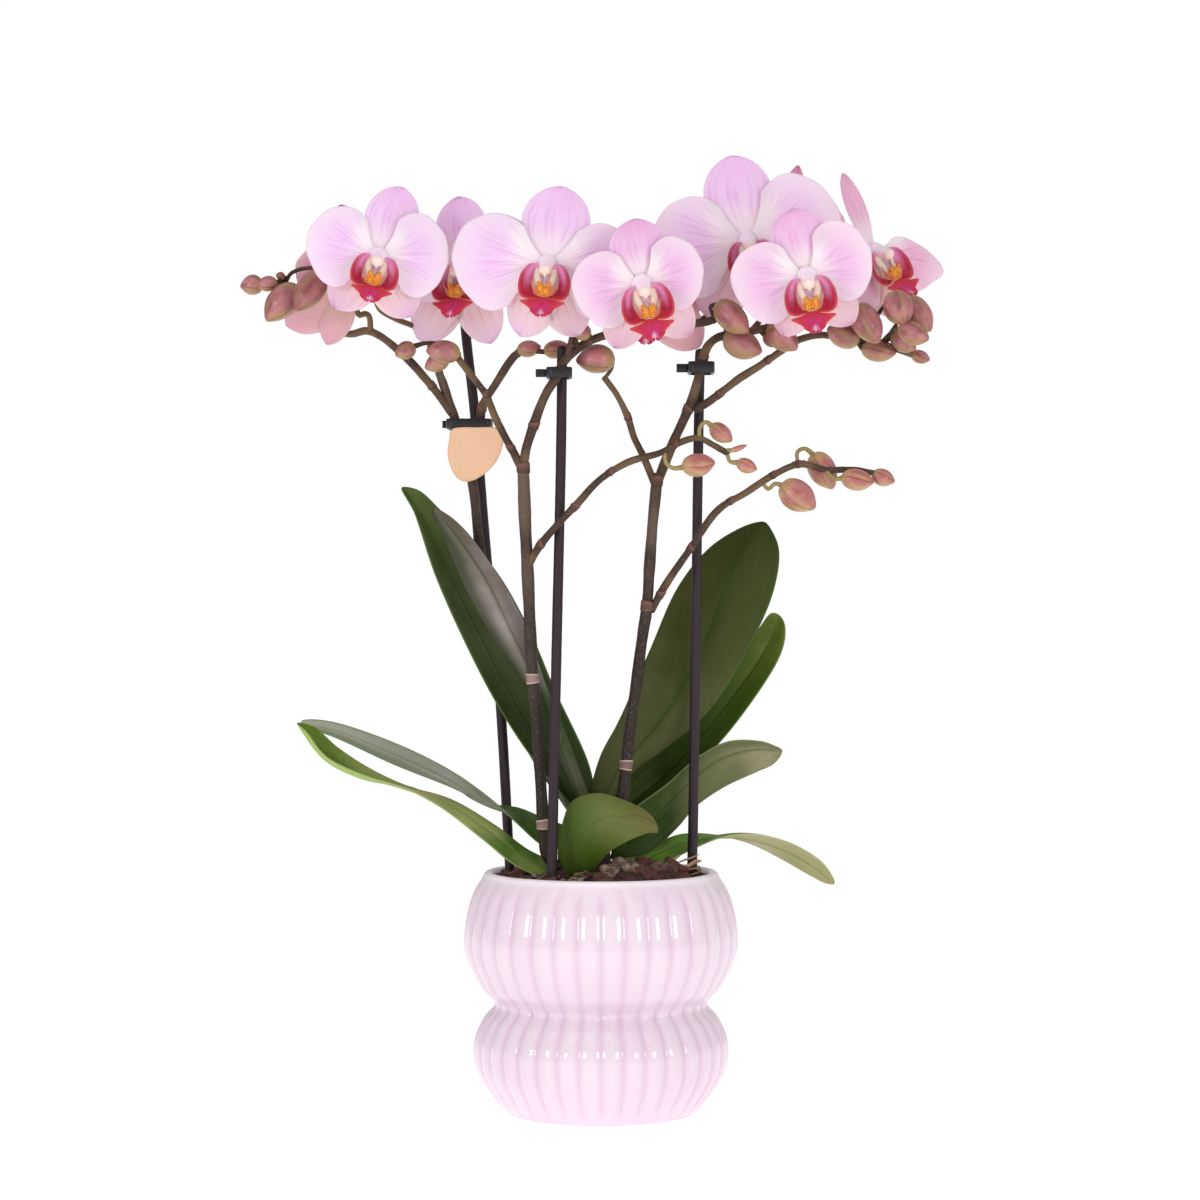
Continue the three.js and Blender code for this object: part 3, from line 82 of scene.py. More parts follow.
# Places in the front view: x, height, and depth behind the pot's middle. Leaves have a left margin, a midrib
# and a right margin. Stems have a radius at each end. Buds have a width, then a stalk, a base and a tip.
# Nodes are where a stem carries a scale. Blooms have a heart, a facing in degrees, a size, and tepals as
# angle from the top, length, half width (a petal's in degrees), lean and, for a petal, how high its upper
# shoulder rises. Some have a tone or a size of lip besides.
LEAVES = {
  "leaf_left_tall_back": [
    [[-10, 130, -4], [-29, 152.7, -3], [-43, 174, -2], [-57.6, 201.5, -2], [-73, 235, -2],
      [-83, 264, -1], [-87.5, 273, 0]],
    [[-13, 128, 3], [-21.5, 151, 5], [-35.6, 174.7, 6], [-49, 200, 6], [-64, 230, 5], [-78, 259, 3],
      [-88, 274, 1]],
    [[-2, 137, 5], [-5.5, 152.5, 5], [-20, 184, 5], [-32, 212, 4], [-47, 238, 4], [-71, 264, 3],
      [-87, 274.5, 1]],
  ],
  "leaf_left_tall_front": [
    [[-6, 134, -3.5], [-23, 160, -7], [-32, 183, -7], [-46.6, 206.4, -8], [-59.8, 230.6, -8],
      [-70, 253.5, -7], [-74.6, 263.5, -6]],
    [[-7.5, 131, -5], [-18, 160, -12], [-27, 184.4, -14], [-39, 209.5, -15], [-50, 232, -14],
      [-64, 252.6, -11], [-74, 264.5, -7]],
    [[-4, 134, -3.5], [-14, 161, -7], [-23, 183, -8], [-33.6, 213, -8], [-44.4, 233, -8],
      [-60, 255, -7], [-73, 265, -6]],
  ],
  "leaf_left_low_back": [
    [[-12, 114, -8], [-24.6, 115.8, -10], [-36, 125, -11], [-48, 135.5, -11], [-66.4, 148.8, -12],
      [-88.4, 160.4, -12], [-114.8, 169.6, -8], [-132, 171, 2]],
    [[-13, 119, -2], [-25, 121.5, -3], [-36, 128.5, -4], [-48, 133.5, -2], [-67.3, 145.7, -1],
      [-88.4, 155.5, 0], [-113, 165.8, 1], [-132.6, 170.2, 3]],
    [[-11, 123, 3], [-24.6, 128, 3], [-36, 132.5, 3], [-50, 134.2, 5], [-68.6, 142.6, 8],
      [-90.6, 151.8, 10], [-116, 163.3, 8], [-132, 169.6, 4]],
  ],
  "leaf_left_low_front": [
    [[-13, 102, -9], [-22, 101.5, -14], [-35.6, 106, -17], [-53.2, 119.3, -19], [-70.8, 132.5, -20],
      [-87, 141.2, -21], [-104, 147, -22], [-121, 155.5, -22], [-134, 169.6, -18]],
    [[-14, 105, -5], [-22, 104.8, -10], [-33.5, 109.6, -12], [-50.2, 122.8, -13], [-68.6, 134.7, -14],
      [-86.2, 141.3, -15], [-106, 145.6, -16], [-122, 154, -17], [-134.4, 169, -17]],
    [[-12, 109.5, -2], [-20, 109.5, -5], [-31, 113.6, -7], [-46.6, 124.6, -7], [-66.4, 136, -7],
      [-85, 141.8, -8], [-101.6, 150, -10], [-116, 159.5, -12], [-133.4, 170.2, -16]],
  ],
  "leaf_right_large": [
    [[-5, 140, 4], [0, 156, 7], [8, 171, 10], [21.6, 202, 14], [34, 230, 18], [48, 247.3, 21],
      [62, 256, 23], [71, 258.6, 24]],
    [[1, 136, 3], [8, 150, 5], [17.2, 160.2, 6], [33, 181, 8], [45.8, 207, 11], [53, 226, 14],
      [62, 245, 18], [72.2, 258.3, 23]],
    [[3, 134, 6], [15, 149, 9], [28.2, 158.9, 12], [48, 176.5, 15], [65.6, 204.2, 18], [76, 228, 21],
      [78.3, 246, 23], [73.4, 257.8, 24]],
  ],
  "leaf_right_back": [
    [[-1, 134, 1.5], [15.5, 154, 14], [39.2, 171.5, 22], [58, 196, 27], [69, 211, 30], [76.4, 218.5, 33]],
    [[1, 126, 2.5], [21.6, 140.4, 18], [39.2, 158, 27], [56.8, 180, 33], [72.2, 202, 36],
      [78.8, 217.4, 36]],
    [[1, 121, 1.5], [21, 132, 13], [41.4, 150, 22], [62, 173.5, 28], [79.5, 201, 32], [80.8, 216, 34]],
  ],
  "leaf_right_middle": [
    [[3, 122, -3], [17.2, 134.5, 3], [30, 143.5, 7], [43.6, 155.4, 9], [56, 162, 12], [69, 162, 16],
      [79.6, 158.6, 21]],
    [[5, 116, 0], [17.2, 122.8, 6], [30.4, 136, 12], [43.6, 149, 16], [57, 156.4, 19],
      [71, 158.8, 21], [80.8, 157.6, 22]],
    [[4, 110, 3], [20, 112.5, 8], [33, 123, 15], [42.2, 133.4, 21], [54.6, 142.2, 25],
      [69, 148.6, 25], [80, 156.4, 23]],
  ],
  "leaf_right_low": [
    [[4, 103.4, -4], [12, 103.6, -1], [23.8, 106, 3], [39.2, 113.6, 5.5], [54, 119.4, 6],
      [68, 121, 6], [83.2, 117.5, 8], [96.4, 109.6, 12], [103.4, 99.6, 16]],
    [[5, 105, 0], [12, 106.5, 3], [22, 110.5, 8], [37, 116.5, 12], [53, 119.9, 15], [68, 118.4, 16],
      [83.2, 113, 17], [95.5, 105.6, 17], [103, 99, 17]],
    [[4, 108.5, 4], [10, 110, 8], [21.6, 115.3, 14], [34.8, 120.6, 19], [51.5, 120.2, 23],
      [67, 116.5, 25], [81, 109.6, 25], [92.8, 102.6, 22], [102.2, 98.8, 17]],
  ],
  "leaf_front_short": [
    [[-17, 100.6, -9], [-18.9, 111.8, -14], [-17.2, 125, -17], [-12.5, 135.4, -19],
      [-1.8, 138.6, -21], [9.2, 136, -23], [19.4, 131.6, -25], [25, 124.4, -27]],
    [[-11.4, 100, -13], [-11, 110, -20], [-8.4, 119.3, -25], [-2.6, 126.5, -28], [4, 129, -30],
      [12.8, 128, -30], [19.4, 125.6, -29], [25.2, 123.2, -27]],
    [[-5.5, 100, -12], [-3, 104.3, -18], [-0.4, 108.7, -22], [4.8, 114, -26], [10.6, 117.5, -28],
      [16.3, 120, -28], [21.6, 121.6, -28], [25, 122.4, -27]],
  ],
}
STEMS = {
  "spike_left": [
    [2.7, 1.8, [[-9, 128, 5], [-18, 140, 12], [-31, 160, 12.5], [-42, 189, 10], [-49.5, 224, 8.5],
      [-53.7, 250, 9.5], [-56.4, 275, 12.5], [-60.2, 290, 14.6], [-63.5, 301, 15.4], [-67, 312, 15.6],
      [-71.5, 325, 13], [-75, 336, 8]]],
    [1.9, 1.4, [[-65.4, 306, 15.5], [-69, 311, 15], [-74.4, 318, 12], [-85, 330, 6], [-97, 340, 1],
      [-103, 342.4, 4], [-111, 341, 12], [-122, 345, 15], [-130, 352, 14], [-136, 359, 9],
      [-139, 363, 2], [-143, 363.4, -3], [-149, 363.2, -7]]],
    [2, 1.7, [[-57.2, 281, 13.2], [-54.8, 291, 14.4], [-53.4, 301, 14.6], [-51.8, 310, 12],
      [-46.6, 318.6, 8], [-38, 331.4, 0], [-34, 333.6, -3]]],
    [1.3, 1.2, [[-34, 334, -4], [-25, 333.2, -6]]],
  ],
  "spike_centre": [
    [2.5, 2.7, [[-10, 106, -7], [-19, 107, -13], [-23.8, 111.8, -16], [-25.5, 127, -18],
      [-26.8, 149, -18], [-28.6, 175.6, -19], [-30, 189, -20], [-31.2, 211, -21], [-32.1, 233, -22],
      [-33.4, 259, -23], [-34.3, 284.7, -24]]],
    [2.1, 1.7, [[-34.3, 283, -24], [-32.6, 291.8, -24.6], [-29.9, 300.1, -25.4], [-27.3, 307.6, -26],
      [-23.8, 315.5, -26.6], [-20.2, 321.2, -27], [-18, 326.1, -27.2], [-14.5, 330.9, -27],
      [-10.6, 334.4, -26], [-4.8, 338, -25], [0.9, 340.2, -24], [14, 343, -20], [30, 345, -17],
      [44, 346, -18], [50, 347.4, -22]]],
    [1.8, 1.4, [[-34.6, 281, -24], [-38.3, 288.7, -23], [-42.2, 295.7, -22], [-46.6, 304.5, -21],
      [-50.6, 314.2, -20], [-57.2, 323, -19], [-63, 330.6, -18]]],
    [1.7, 1.3, [[-31.8, 239, -22.5], [-28.2, 246, -25], [-20.2, 256, -28], [-10.6, 266.2, -28],
      [-0.4, 277, -27], [12.8, 285, -25], [26, 288.7, -22], [34.8, 293.3, -19], [42.7, 295.3, -17],
      [50, 291.8, -17], [56, 288.4, -17]]],
  ],
  "spike_right": [
    [2.7, 2.4, [[1, 124, -7], [7, 129, -10], [9.4, 137, -10], [11, 151.4, -9], [13.2, 171, -8],
      [15.8, 189, -8], [18, 206.4, -8], [20.2, 221, -8], [21.3, 238, -8], [22.6, 256, -8],
      [24.6, 276.4, -8]]],
    [2.2, 1.8, [[24.2, 274, -8], [28.6, 285.6, -7.4], [32.8, 295.7, -7], [36.3, 303.2, -7],
      [39.8, 311.6, -7], [42.5, 320.8, -7.2], [44.4, 328.7, -7.8], [47.1, 335.8, -9.4], [52, 339.8, -12],
      [62, 341.4, -15], [72, 343.6, -17]]],
    [1.6, 1.3, [[24, 274, -8], [18.9, 286.5, -9], [14.5, 295.7, -10.6], [11.7, 304.5, -12],
      [7, 314.2, -14], [1.3, 322.1, -15]]],
    [1.8, 1.4, [[41.2, 307.6, -7], [48, 311.6, -8], [53.7, 316, -9], [61.2, 321.7, -10],
      [68.6, 326.3, -12], [78, 332.6, -14], [85, 337.6, -17], [96.4, 340.6, -20], [109.6, 338.6, -20],
      [122.8, 337.2, -20], [130, 334.4, -20], [137, 332, -20]]],
    [1.7, 1.3, [[22, 219, -8], [28, 230, -9], [39.2, 246.4, -10], [51.5, 263.6, -10], [63.4, 271, -9],
      [76.6, 279.4, -8], [87.6, 283.8, -8], [98.5, 281.4, -8], [112, 281.2, -8], [120.4, 279.8, -8]]],
  ],
}
BUDS = {
  "spike_left": [
    [9.8, [-146, 363.2, -6], [-149.3, 363, -6.6], [-158.4, 362.2, -7]],
    [7.4, [-140, 363.6, -1], [-143, 363.8, -7], [-151, 362.2, -10]],
    [4, [-139, 362.8, 2], [-139.5, 366, -2], [-142.8, 367.2, -4]],
    [14, [-139, 363, 1], [-134.4, 361.6, -9], [-147, 347.6, -13]],
    [13.4, [-139, 363, 1], [-136, 368, -5], [-127, 370, -11], [-123, 367.6, -14], [-134, 352, -22]],
    [8, [-37, 332.2, -2], [-36.2, 333.8, -4], [-26.8, 335.3, -5]],
    [8.8, [-26, 333.2, -6], [-24.4, 333.2, -6], [-14.4, 335.6, -7]],
  ],
  "spike_centre": [
    [10.6, [-62.5, 330, -18], [-62.8, 332.6, -19], [-76.4, 334, -20]],
    [8.6, [-62.5, 330, -17], [-67.8, 330.4, -14], [-77.2, 326.2, -13]],
    [8.4, [-62, 330.4, -18], [-67, 336, -15], [-77, 337, -13], [-82.4, 335.6, -14], [-90.2, 331.8, -15]],
    [8, [-4, 338.4, -25], [-5.4, 340.4, -30], [-12, 344, -33]],
    [11.2, [28, 289.4, -21.5], [28.6, 284.4, -22], [31.7, 282, -22], [36.5, 282.5, -22],
      [49.7, 284.3, -22]],
    [8.6, [43.2, 295, -17], [43.6, 300, -18], [46.2, 302.3, -18], [48.8, 300.4, -18], [57.2, 294, -19]],
    [7, [55.4, 288.7, -17], [56.8, 285, -18], [60.2, 284.4, -18], [68.2, 281.4, -19]],
    [2.6, [54, 289.8, -17], [57, 289.6, -17], [64, 292, -17]],
    [12.6, [50, 347.4, -22], [48.2, 353, -27], [51.6, 354, -31], [64, 342, -35]],
  ],
  "spike_right": [
    [13.6, [1.6, 321.4, -15], [4.6, 326, -17], [5, 330.4, -19], [-10.4, 329.6, -20]],
    [13.4, [46, 334.4, -9], [51.6, 338.6, -17], [55, 339.4, -22], [70, 333, -25]],
    [12.4, [71, 343.4, -17], [74.6, 344.6, -19], [85.6, 334.4, -22]],
    [5, [69, 343, -16], [72.2, 340.6, -17], [75.8, 335.4, -18]],
    [12, [112, 338.2, -20], [112.4, 338, -25], [100.2, 343.6, -30]],
    [13.6, [108, 338.8, -20], [110, 348, -28], [113, 352.8, -35], [121.4, 337.6, -40]],
    [10.2, [112, 338.2, -20], [115.4, 334.4, -21], [129.2, 332.4, -23]],
    [13.6, [117, 337.8, -20], [121, 348, -28], [125, 354, -36], [128.6, 358.4, -40], [133.4, 345.6, -46]],
    [13, [124, 337, -20], [131, 347, -26], [134.6, 356, -33], [144.4, 342.6, -36]],
    [10.6, [123, 337, -20], [127.4, 341.4, -29], [132, 343.6, -42], [143.6, 338.6, -48]],
    [9, [124, 337, -20], [128.4, 340.2, -25], [138, 334.2, -28]],
    [6.4, [134, 333, -20], [137, 332, -20], [144.4, 329.6, -20]],
    [14.8, [70.8, 275.8, -8], [73.6, 272.8, -10], [76.6, 275.2, -12], [80, 274.2, -13],
      [93.6, 264.6, -14]],
    [13.2, [86.6, 283.6, -8], [86.4, 289, -6], [89.8, 290.6, -3], [93.8, 287.6, -1], [101.6, 273.4, 0]],
    [10.2, [98.6, 281.2, -8], [103, 277.4, -10], [106.5, 277.7, -11], [119.6, 275.8, -12]],
    [8, [118, 280.2, -8], [120, 279.4, -8], [128.8, 276, -8]],
  ],
}
NODES = {
  "spike_left": [[-74, 317.6, 12.3], [-52.6, 308, 12.4], [-88, 332.6, 4.6], [-119, 343.6, 14.6],
    [-56, 286, 14]],
  "spike_centre": [[-25.3, 125.4, -17.9], [-29.9, 188.6, -20], [-34.6, 282, -24], [-25.8, 249, -26],
    [-10.6, 266.2, -28], [4.6, 280.6, -26.4], [-50.4, 314.2, -20], [-40, 291, -22.6], [-29.6, 300.6, -25.4],
    [22, 344, -18], [-6, 337, -25.2], [33, 292.6, -19.4]],
  "spike_right": [[11.1, 152, -9], [20.3, 221.6, -8], [24, 276, -8], [38, 308, -7], [11.6, 304.6, -12],
    [39, 246.2, -10], [25.6, 226.6, -8.6], [57, 267.6, -9.4], [52.4, 315.4, -8.8], [74, 329.6, -13.4],
    [45, 330, -8], [76.6, 279.4, -8], [104, 339.6, -20], [87.6, 283.8, -8]],
}
BLOOMS = {
  "bloom_1": {
    "spike": "spike_left", "heart": [-98.2, 375, -40], "turn": 7, "tip": 0, "roll": 12, "size": 1,
    "lip": 0.88,
    "tepals": { "dorsal": [8, 32.8, 11.6, 6], "right": [78, 30.5, 55, 0, 1], "left": [-86, 31.2, 57, 0, 0.3],
      "lowLeft": [-151, 28.5, 10.4, 5], "lowRight": [139, 29, 10.4, 5] },
    "pedicel": [[-75, 336, 8], [-80, 343, 4], [-91, 348, -4], [-98, 353, -12], [-98.4, 366, -24]],
  },
  "bloom_2": {
    "spike": "spike_left", "heart": [-109.6, 362.6, 2], "turn": 180, "tip": 20, "roll": 0, "size": 0.9,
    "lip": 0.55,
    "tepals": { "dorsal": [5, 37, 8.5, 3], "right": [68, 26, 50, 0], "left": [-80, 26, 48, 0],
      "lowRight": [121, 34, 11, 3], "lowLeft": [156, 28.5, 7, 7] },
    "pedicel": [[-101.4, 342.6, 2.4], [-101.9, 348.5, -2], [-103.8, 350, -6], [-106.5, 349.4, -9],
      [-107.8, 353, -10]],
  },
  "bloom_3": {
    "spike": "spike_left", "heart": [-60.7, 371.4, -14], "turn": -20, "tip": -4, "roll": 0, "size": 1.1,
    "tepals": { "dorsal": [-7, 30.8, 12, 8], "left": [-88, 30, 52, 0, 0.3], "right": [80, 35, 54, 0, 0.3],
      "lowRight": [163, 36, 11, 4], "lowLeft": [-143, 40, 12, 4] },
    "pedicel": [[-72.6, 329, 11.6], [-71, 344, 14], [-65, 360, 10]],
  },
  "bloom_4": {
    "spike": "spike_centre", "heart": [-23.4, 371.8, -42], "turn": -5, "tip": -3, "roll": 4, "size": 1.26,
    "tepals": { "dorsal": [6, 34.4, 14.8, 8], "right": [92, 40, 52, 0, 0.1], "left": [-88, 41.5, 52, 0, 0],
      "lowRight": [154, 33, 10.6, 4], "lowLeft": [-162, 33, 10.8, 4] },
    "pedicel": [[-10.5, 333.6, -26], [-12, 340, -28], [-17, 348, -27], [-21, 358, -22], [-23, 367, -25]],
  },
  "bloom_5": {
    "spike": "spike_centre", "heart": [17.8, 363.5, -57], "turn": 5, "tip": -11, "roll": -12, "size": 0.9,
    "tone": "rosy",
    "tepals": { "dorsal": [6, 26.8, 12.4, 2], "right": [87, 27, 56, 0, 0.8], "left": [-87, 29.4, 58, 0, 0.2],
      "lowRight": [147, 31, 9.6, 3], "lowLeft": [-147, 30, 9.6, 3] },
    "pedicel": [[9, 342.2, -21.6], [12, 348, -24], [16, 358, -34]],
  },
  "bloom_6": {
    "spike": "spike_centre", "heart": [19, 361, 2], "turn": 176, "tip": 0, "roll": 0, "size": 0.95,
    "tepals": { "lowLeft": [-137, 36, 11, 3] },
    "pedicel": [[16, 343.2, -19.6], [16.6, 350, -17], [18, 358, -12]],
  },
  "bloom_7": {
    "spike": "spike_right", "heart": [64.2, 381.8, -18], "turn": 6, "tip": -3, "roll": -8, "size": 1.3,
    "tepals": { "dorsal": [-2, 38, 15.2, 4], "right": [82, 42.4, 55, 0, 0.5], "left": [-86, 42, 55, 0, 0] },
    "pedicel": [[55, 340.2, -13], [56, 350, -2], [60, 366, 3]],
  },
  "bloom_8": {
    "spike": "spike_right", "heart": [90.4, 366.8, -52], "turn": 0, "tip": -10, "roll": -8, "size": 0.94,
    "tone": "rosy",
    "tepals": { "dorsal": [-4, 28.4, 12.6, 2], "right": [78, 29, 57, 0, 1], "left": [-90, 32, 57, 0, 0.1],
      "lowRight": [142, 29, 9.6, 3], "lowLeft": [-153, 27.5, 9, 3] },
    "pedicel": [[72, 343.6, -17], [80, 350, -20], [88, 361, -30]],
  },
  "bloom_9": {
    "spike": "spike_right", "heart": [119.6, 377, -14], "turn": 36, "tip": 6, "roll": -16, "size": 1.2,
    "tone": "dusty",
    "tepals": { "dorsal": [2, 37, 5.8, 6], "right": [114, 41, 40, 0, -1], "left": [-136, 30, 34, -4, 0],
      "lowRight": [168, 30, 9, 12], "lowLeft": [-158, 30, 9, 6] },
    "pedicel": [[106, 339.4, -20], [107, 350, -10], [110, 368, -2]],
  },
  "bloom_10": {
    "spike": "spike_right", "heart": [80.4, 382, 22], "turn": 176, "tip": -2, "roll": 0, "size": 0.9,
    "tepals": { "dorsal": [-11, 34, 4.6, 3] },
    "pedicel": [[66, 342.2, -15.8], [72, 350, -8], [78, 368, 6]],
  },
}
USUAL_TEPALS = {
  "dorsal": [0, 30, 11, 8], "right": [80, 32, 55, 0], "left": [-80, 32, 55, 0],
  "lowRight": [146, 28.5, 9.8, 5], "lowLeft": [-146, 28.5, 9.8, 5],
}
STAKES = {
  "stake_left": [[-37.3, 66, 6], [-40, 105, 8.5], [-44.4, 180, 16], [-50.2, 241.6, 20],
    [-55.6, 306.7, 23], [-59.3, 340, 26], [-60, 350, 26.6]],
  "stake_centre": [[-21.7, 70, -31], [-21.5, 105, -30], [-19.6, 200, -25.6], [-17.6, 290, -21.6],
    [-17.1, 335.5, -20]],
  "stake_right": [[38.4, 76, 0], [40, 105, 0], [41.4, 190, 1], [42.8, 290, 1.4], [43.6, 334, 1.6]],
}
CLIPS = {
  "clip_left": { "middle": [-57.8, 301.2, 18.8], "across": 10.2, "depth": 9.2, "height": 4.4, "tab": 2 },
  "clip_centre": { "middle": [-18.4, 323.8, -23.6], "across": 5.6, "depth": 7.1, "height": 4.6, "tab": 4.6 },
  "clip_right": { "middle": [44, 326, -2.8], "across": 5.8, "depth": 8.4, "height": 5, "tab": 5 },
}
TAG_OUTLINE = [
  [-65.6, 299], [-54, 300], [-45, 299.4], [-42.8, 295.6], [-46, 285], [-54, 277.6], [-60, 276], [-64, 278.4],
  [-67.4, 287], [-66.8, 294.6],
]


def place(x, z, y):
    """A place in the front view, spread out by its depth."""
    spread = 1 + y / VIEW_DISTANCE
    return np.array([x * spread, y, VIEW_HEIGHT + (z - VIEW_HEIGHT) * spread])


def through(points, count):
    """Points on a smooth line through the given ones: a number of them, or the shares of the way to stop at.
    Columns after the third ride along."""
    p = np.array(points, float)
    p = np.vstack([2 * p[0] - p[1], p, 2 * p[-1] - p[-2]])
    step = np.maximum(np.linalg.norm(np.diff(p[:, :3], axis=0), axis=1) ** 0.5, 1e-6)
    spans = len(p) - 3
    at = np.linspace(0, spans, count) if isinstance(count, int) else np.asarray(count) * spans
    k = np.minimum(at.astype(int), spans - 1)
    f = (at - k)[:, None]
    a, b, c = (step[k + shift][:, None] for shift in (0, 1, 2))
    p0, p1, p2, p3 = (p[k + shift] for shift in (0, 1, 2, 3))
    leave = ((p1 - p0) / a - (p2 - p0) / (a + b) + (p2 - p1) / b) * b
    reach = ((p2 - p1) / b - (p3 - p1) / (b + c) + (p3 - p2) / c) * b
    return ((2 * f**3 - 3 * f**2 + 1) * p1 + (f**3 - 2 * f**2 + f) * leave
            + (3 * f**2 - 2 * f**3) * p2 + (f**3 - f**2) * reach)


def unit(vectors):
    return vectors / np.maximum(np.linalg.norm(vectors, axis=-1, keepdims=True), 1e-9)


def ruffle(points, scale, seed=0):
    """Smooth noise from -1 to 1 at each point."""
    shift = Vector((seed * 17.3, seed * 5.1, seed * 9.7))
    flat = np.asarray(points).reshape(-1, 3)
    values = [noise.noise(Vector(p) * scale + shift) for p in flat.tolist()]
    return np.array(values).reshape(np.shape(points)[:-1])


class Form:
    """The points and faces of one piece, with three numbers at each point that its finishes read."""

    def __init__(self):
        self.points = []
        self.marks = []
        self.faces = []
        self.finish = []
        self.count = 0

    def add(self, points, marks, faces, finish=0):
        points = np.asarray(points, float).reshape(-1, 3)
        marks = np.broadcast_to(np.asarray(marks, float), points.shape) if np.ndim(marks) == 1 else marks
        self.points.append(points)
        self.marks.append(np.asarray(marks, float).reshape(-1, 3))
        self.faces.extend(tuple(corner + self.count for corner in face) for face in faces)
        finishes = [finish] * len(faces) if isinstance(finish, int) else list(finish)
        self.finish.extend(finishes)
        self.count += len(points)

    def moved(self, matrix):
        """Turns and shifts all its points so far by a matrix."""
        matrix = np.array(matrix)
        self.points = [p @ matrix[:3, :3].T + matrix[:3, 3] for p in self.points]


def grid_faces(rows, cols, closed=False):
    """Quads between rows of points. A closed grid joins the last column to the first."""
    faces = []
    for i in range(rows - 1):
        for k in range(cols if closed else cols - 1):
            n = (k + 1) % cols
            faces.append((i * cols + k, i * cols + n, (i + 1) * cols + n, (i + 1) * cols + k))
    return faces


def sheet(form, middle, marks, thickness, front=0, back=0):
    """A thin blade on both sides of a grid of middle points, closed along its edge. The front is the side
    from which columns run to the right while rows run up."""
    rows, cols = middle.shape[:2]
    normal = unit(np.cross(np.gradient(middle, axis=1), np.gradient(middle, axis=0)))
    half = (np.broadcast_to(thickness, (rows, cols)) / 2)[..., None] * normal
    size = rows * cols
    faces = grid_faces(rows, cols)
    behind = [tuple(corner + size for corner in reversed(face)) for face in faces]
    edge = list(range(cols))
    edge += [i * cols + cols - 1 for i in range(1, rows)]
    edge += [(rows - 1) * cols + k for k in range(cols - 2, -1, -1)]
    edge += [i * cols for i in range(rows - 2, 0, -1)]
    rim = [(b, a, a + size, b + size) for a, b in zip(edge, edge[1:] + edge[:1])]
    points = np.concatenate([(middle + half).reshape(-1, 3), (middle - half).reshape(-1, 3)])
    marks = np.broadcast_to(np.asarray(marks, float), middle.shape).reshape(-1, 3)
    form.add(points, np.tile(marks, (2, 1)), faces + behind + rim,
             [front] * len(faces) + [back] * len(behind) + [front] * len(rim))


def rod(form, line, sides, marks=(0, 0, 0), finish=0, wobble=0.0):
    """A closed tube with soft ends along points that carry their radius as a fourth number."""
    line = np.asarray(line, float)
    centres, radii = line[:, :3], line[:, 3]
    heading = unit(np.gradient(centres, axis=0))
    lean = np.array([0, 0, 1.0]) if abs(heading[0][2]) < 0.8 else np.array([0, 1.0, 0])
    normal = unit(np.cross(lean, heading[0]))
    turns = np.linspace(0, 2 * math.pi, sides, endpoint=False)
    rings = []
    for centre, ahead, radius in zip(centres, heading, radii):
        normal = unit(normal - ahead * np.dot(normal, ahead))
        side = np.cross(ahead, normal)
        rings.append(centre + radius * (np.cos(turns)[:, None] * normal + np.sin(turns)[:, None] * side))
    rings = np.array(rings)
    if wobble:
        push = ruffle(rings, 0.35, 3) * wobble
        rings = rings + unit(rings - centres[:, None]) * push[..., None]
    first = centres[0] - heading[0] * radii[0] * 0.4
    last = centres[-1] + heading[-1] * radii[-1] * 0.4
    count = len(rings) * sides
    faces = grid_faces(len(rings), sides, closed=True)
    faces += [(count, (k + 1) % sides, k) for k in range(sides)]
    end = count - sides
    faces += [(count + 1, end + k, end + (k + 1) % sides) for k in range(sides)]
    form.add(np.vstack([rings.reshape(-1, 3), first, last]), marks, faces, finish)


def piece(name, form, finishes, slot, *nodes):
    """Makes the form an object that rides with the plant and stands for the named nodes."""
    mesh = bpy.data.meshes.new(name)
    mesh.from_pydata((np.concatenate(form.points) * MM).tolist(), [], form.faces)
    mesh.polygons.foreach_set("use_smooth", [True] * len(form.faces))
    mesh.polygons.foreach_set("material_index", form.finish)
    marks = mesh.attributes.new("marks", "FLOAT_VECTOR", "POINT")
    marks.data.foreach_set("vector", np.concatenate(form.marks).ravel())
    for finish in finishes:
        mesh.materials.append(finish)
    mesh.update()
    body = bpy.data.objects.new(name, mesh)
    bpy.context.collection.objects.link(body)
    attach(body, "root")
    if nodes:
        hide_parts(*nodes)
    return body


# Finishes


def paint(red, green, blue):
    """A screen colour, 0 to 255, as the light values that shaders use."""
    def light(value):
        value /= 255
        return value / 12.92 if value <= 0.04045 else ((value + 0.055) / 1.055) ** 2.4
    return (light(red), light(green), light(blue), 1)


class Wire:
    """A socket in a finish. Arithmetic on it adds Math nodes; on a vector, Vector Math nodes."""

    def __init__(self, finish, socket):
        self.finish = finish
        self.socket = socket

    def _math(self, operation, first, second=None):
        if "VECTOR" in (getattr(getattr(v, "socket", None), "type", "") for v in (first, second)):
            kind = "ShaderNodeVectorMath"
            first, second = (v if isinstance(v, (Wire, tuple)) else (v, v, v) for v in (first, second))
        else:
            kind = "ShaderNodeMath"
        values = {0: first} if second is None else {0: first, 1: second}
        return self.finish.node(kind, {"operation": operation}, values)

    def __add__(self, other):
        return self._math("ADD", self, other)

    def __radd__(self, other):
        return self._math("ADD", other, self)

    def __sub__(self, other):
        return self._math("SUBTRACT", self, other)

    def __rsub__(self, other):
        return self._math("SUBTRACT", other, self)

    def __mul__(self, other):
        return self._math("MULTIPLY", self, other)

    def __rmul__(self, other):
        return self._math("MULTIPLY", other, self)

    def size(self):
        return self._math("ABSOLUTE", self)

    def highest(self, other):
        return self._math("MAXIMUM", self, other)

    def fade(self, start, end):
        """0 before start, 1 after end, smooth between them. It runs down where end is below start."""
        settings = {"interpolation_type": "SMOOTHSTEP", "clamp": True}
        values = {"Value": self, "From Min": start, "From Max": end}
        return self.finish.node("ShaderNodeMapRange", settings, values)


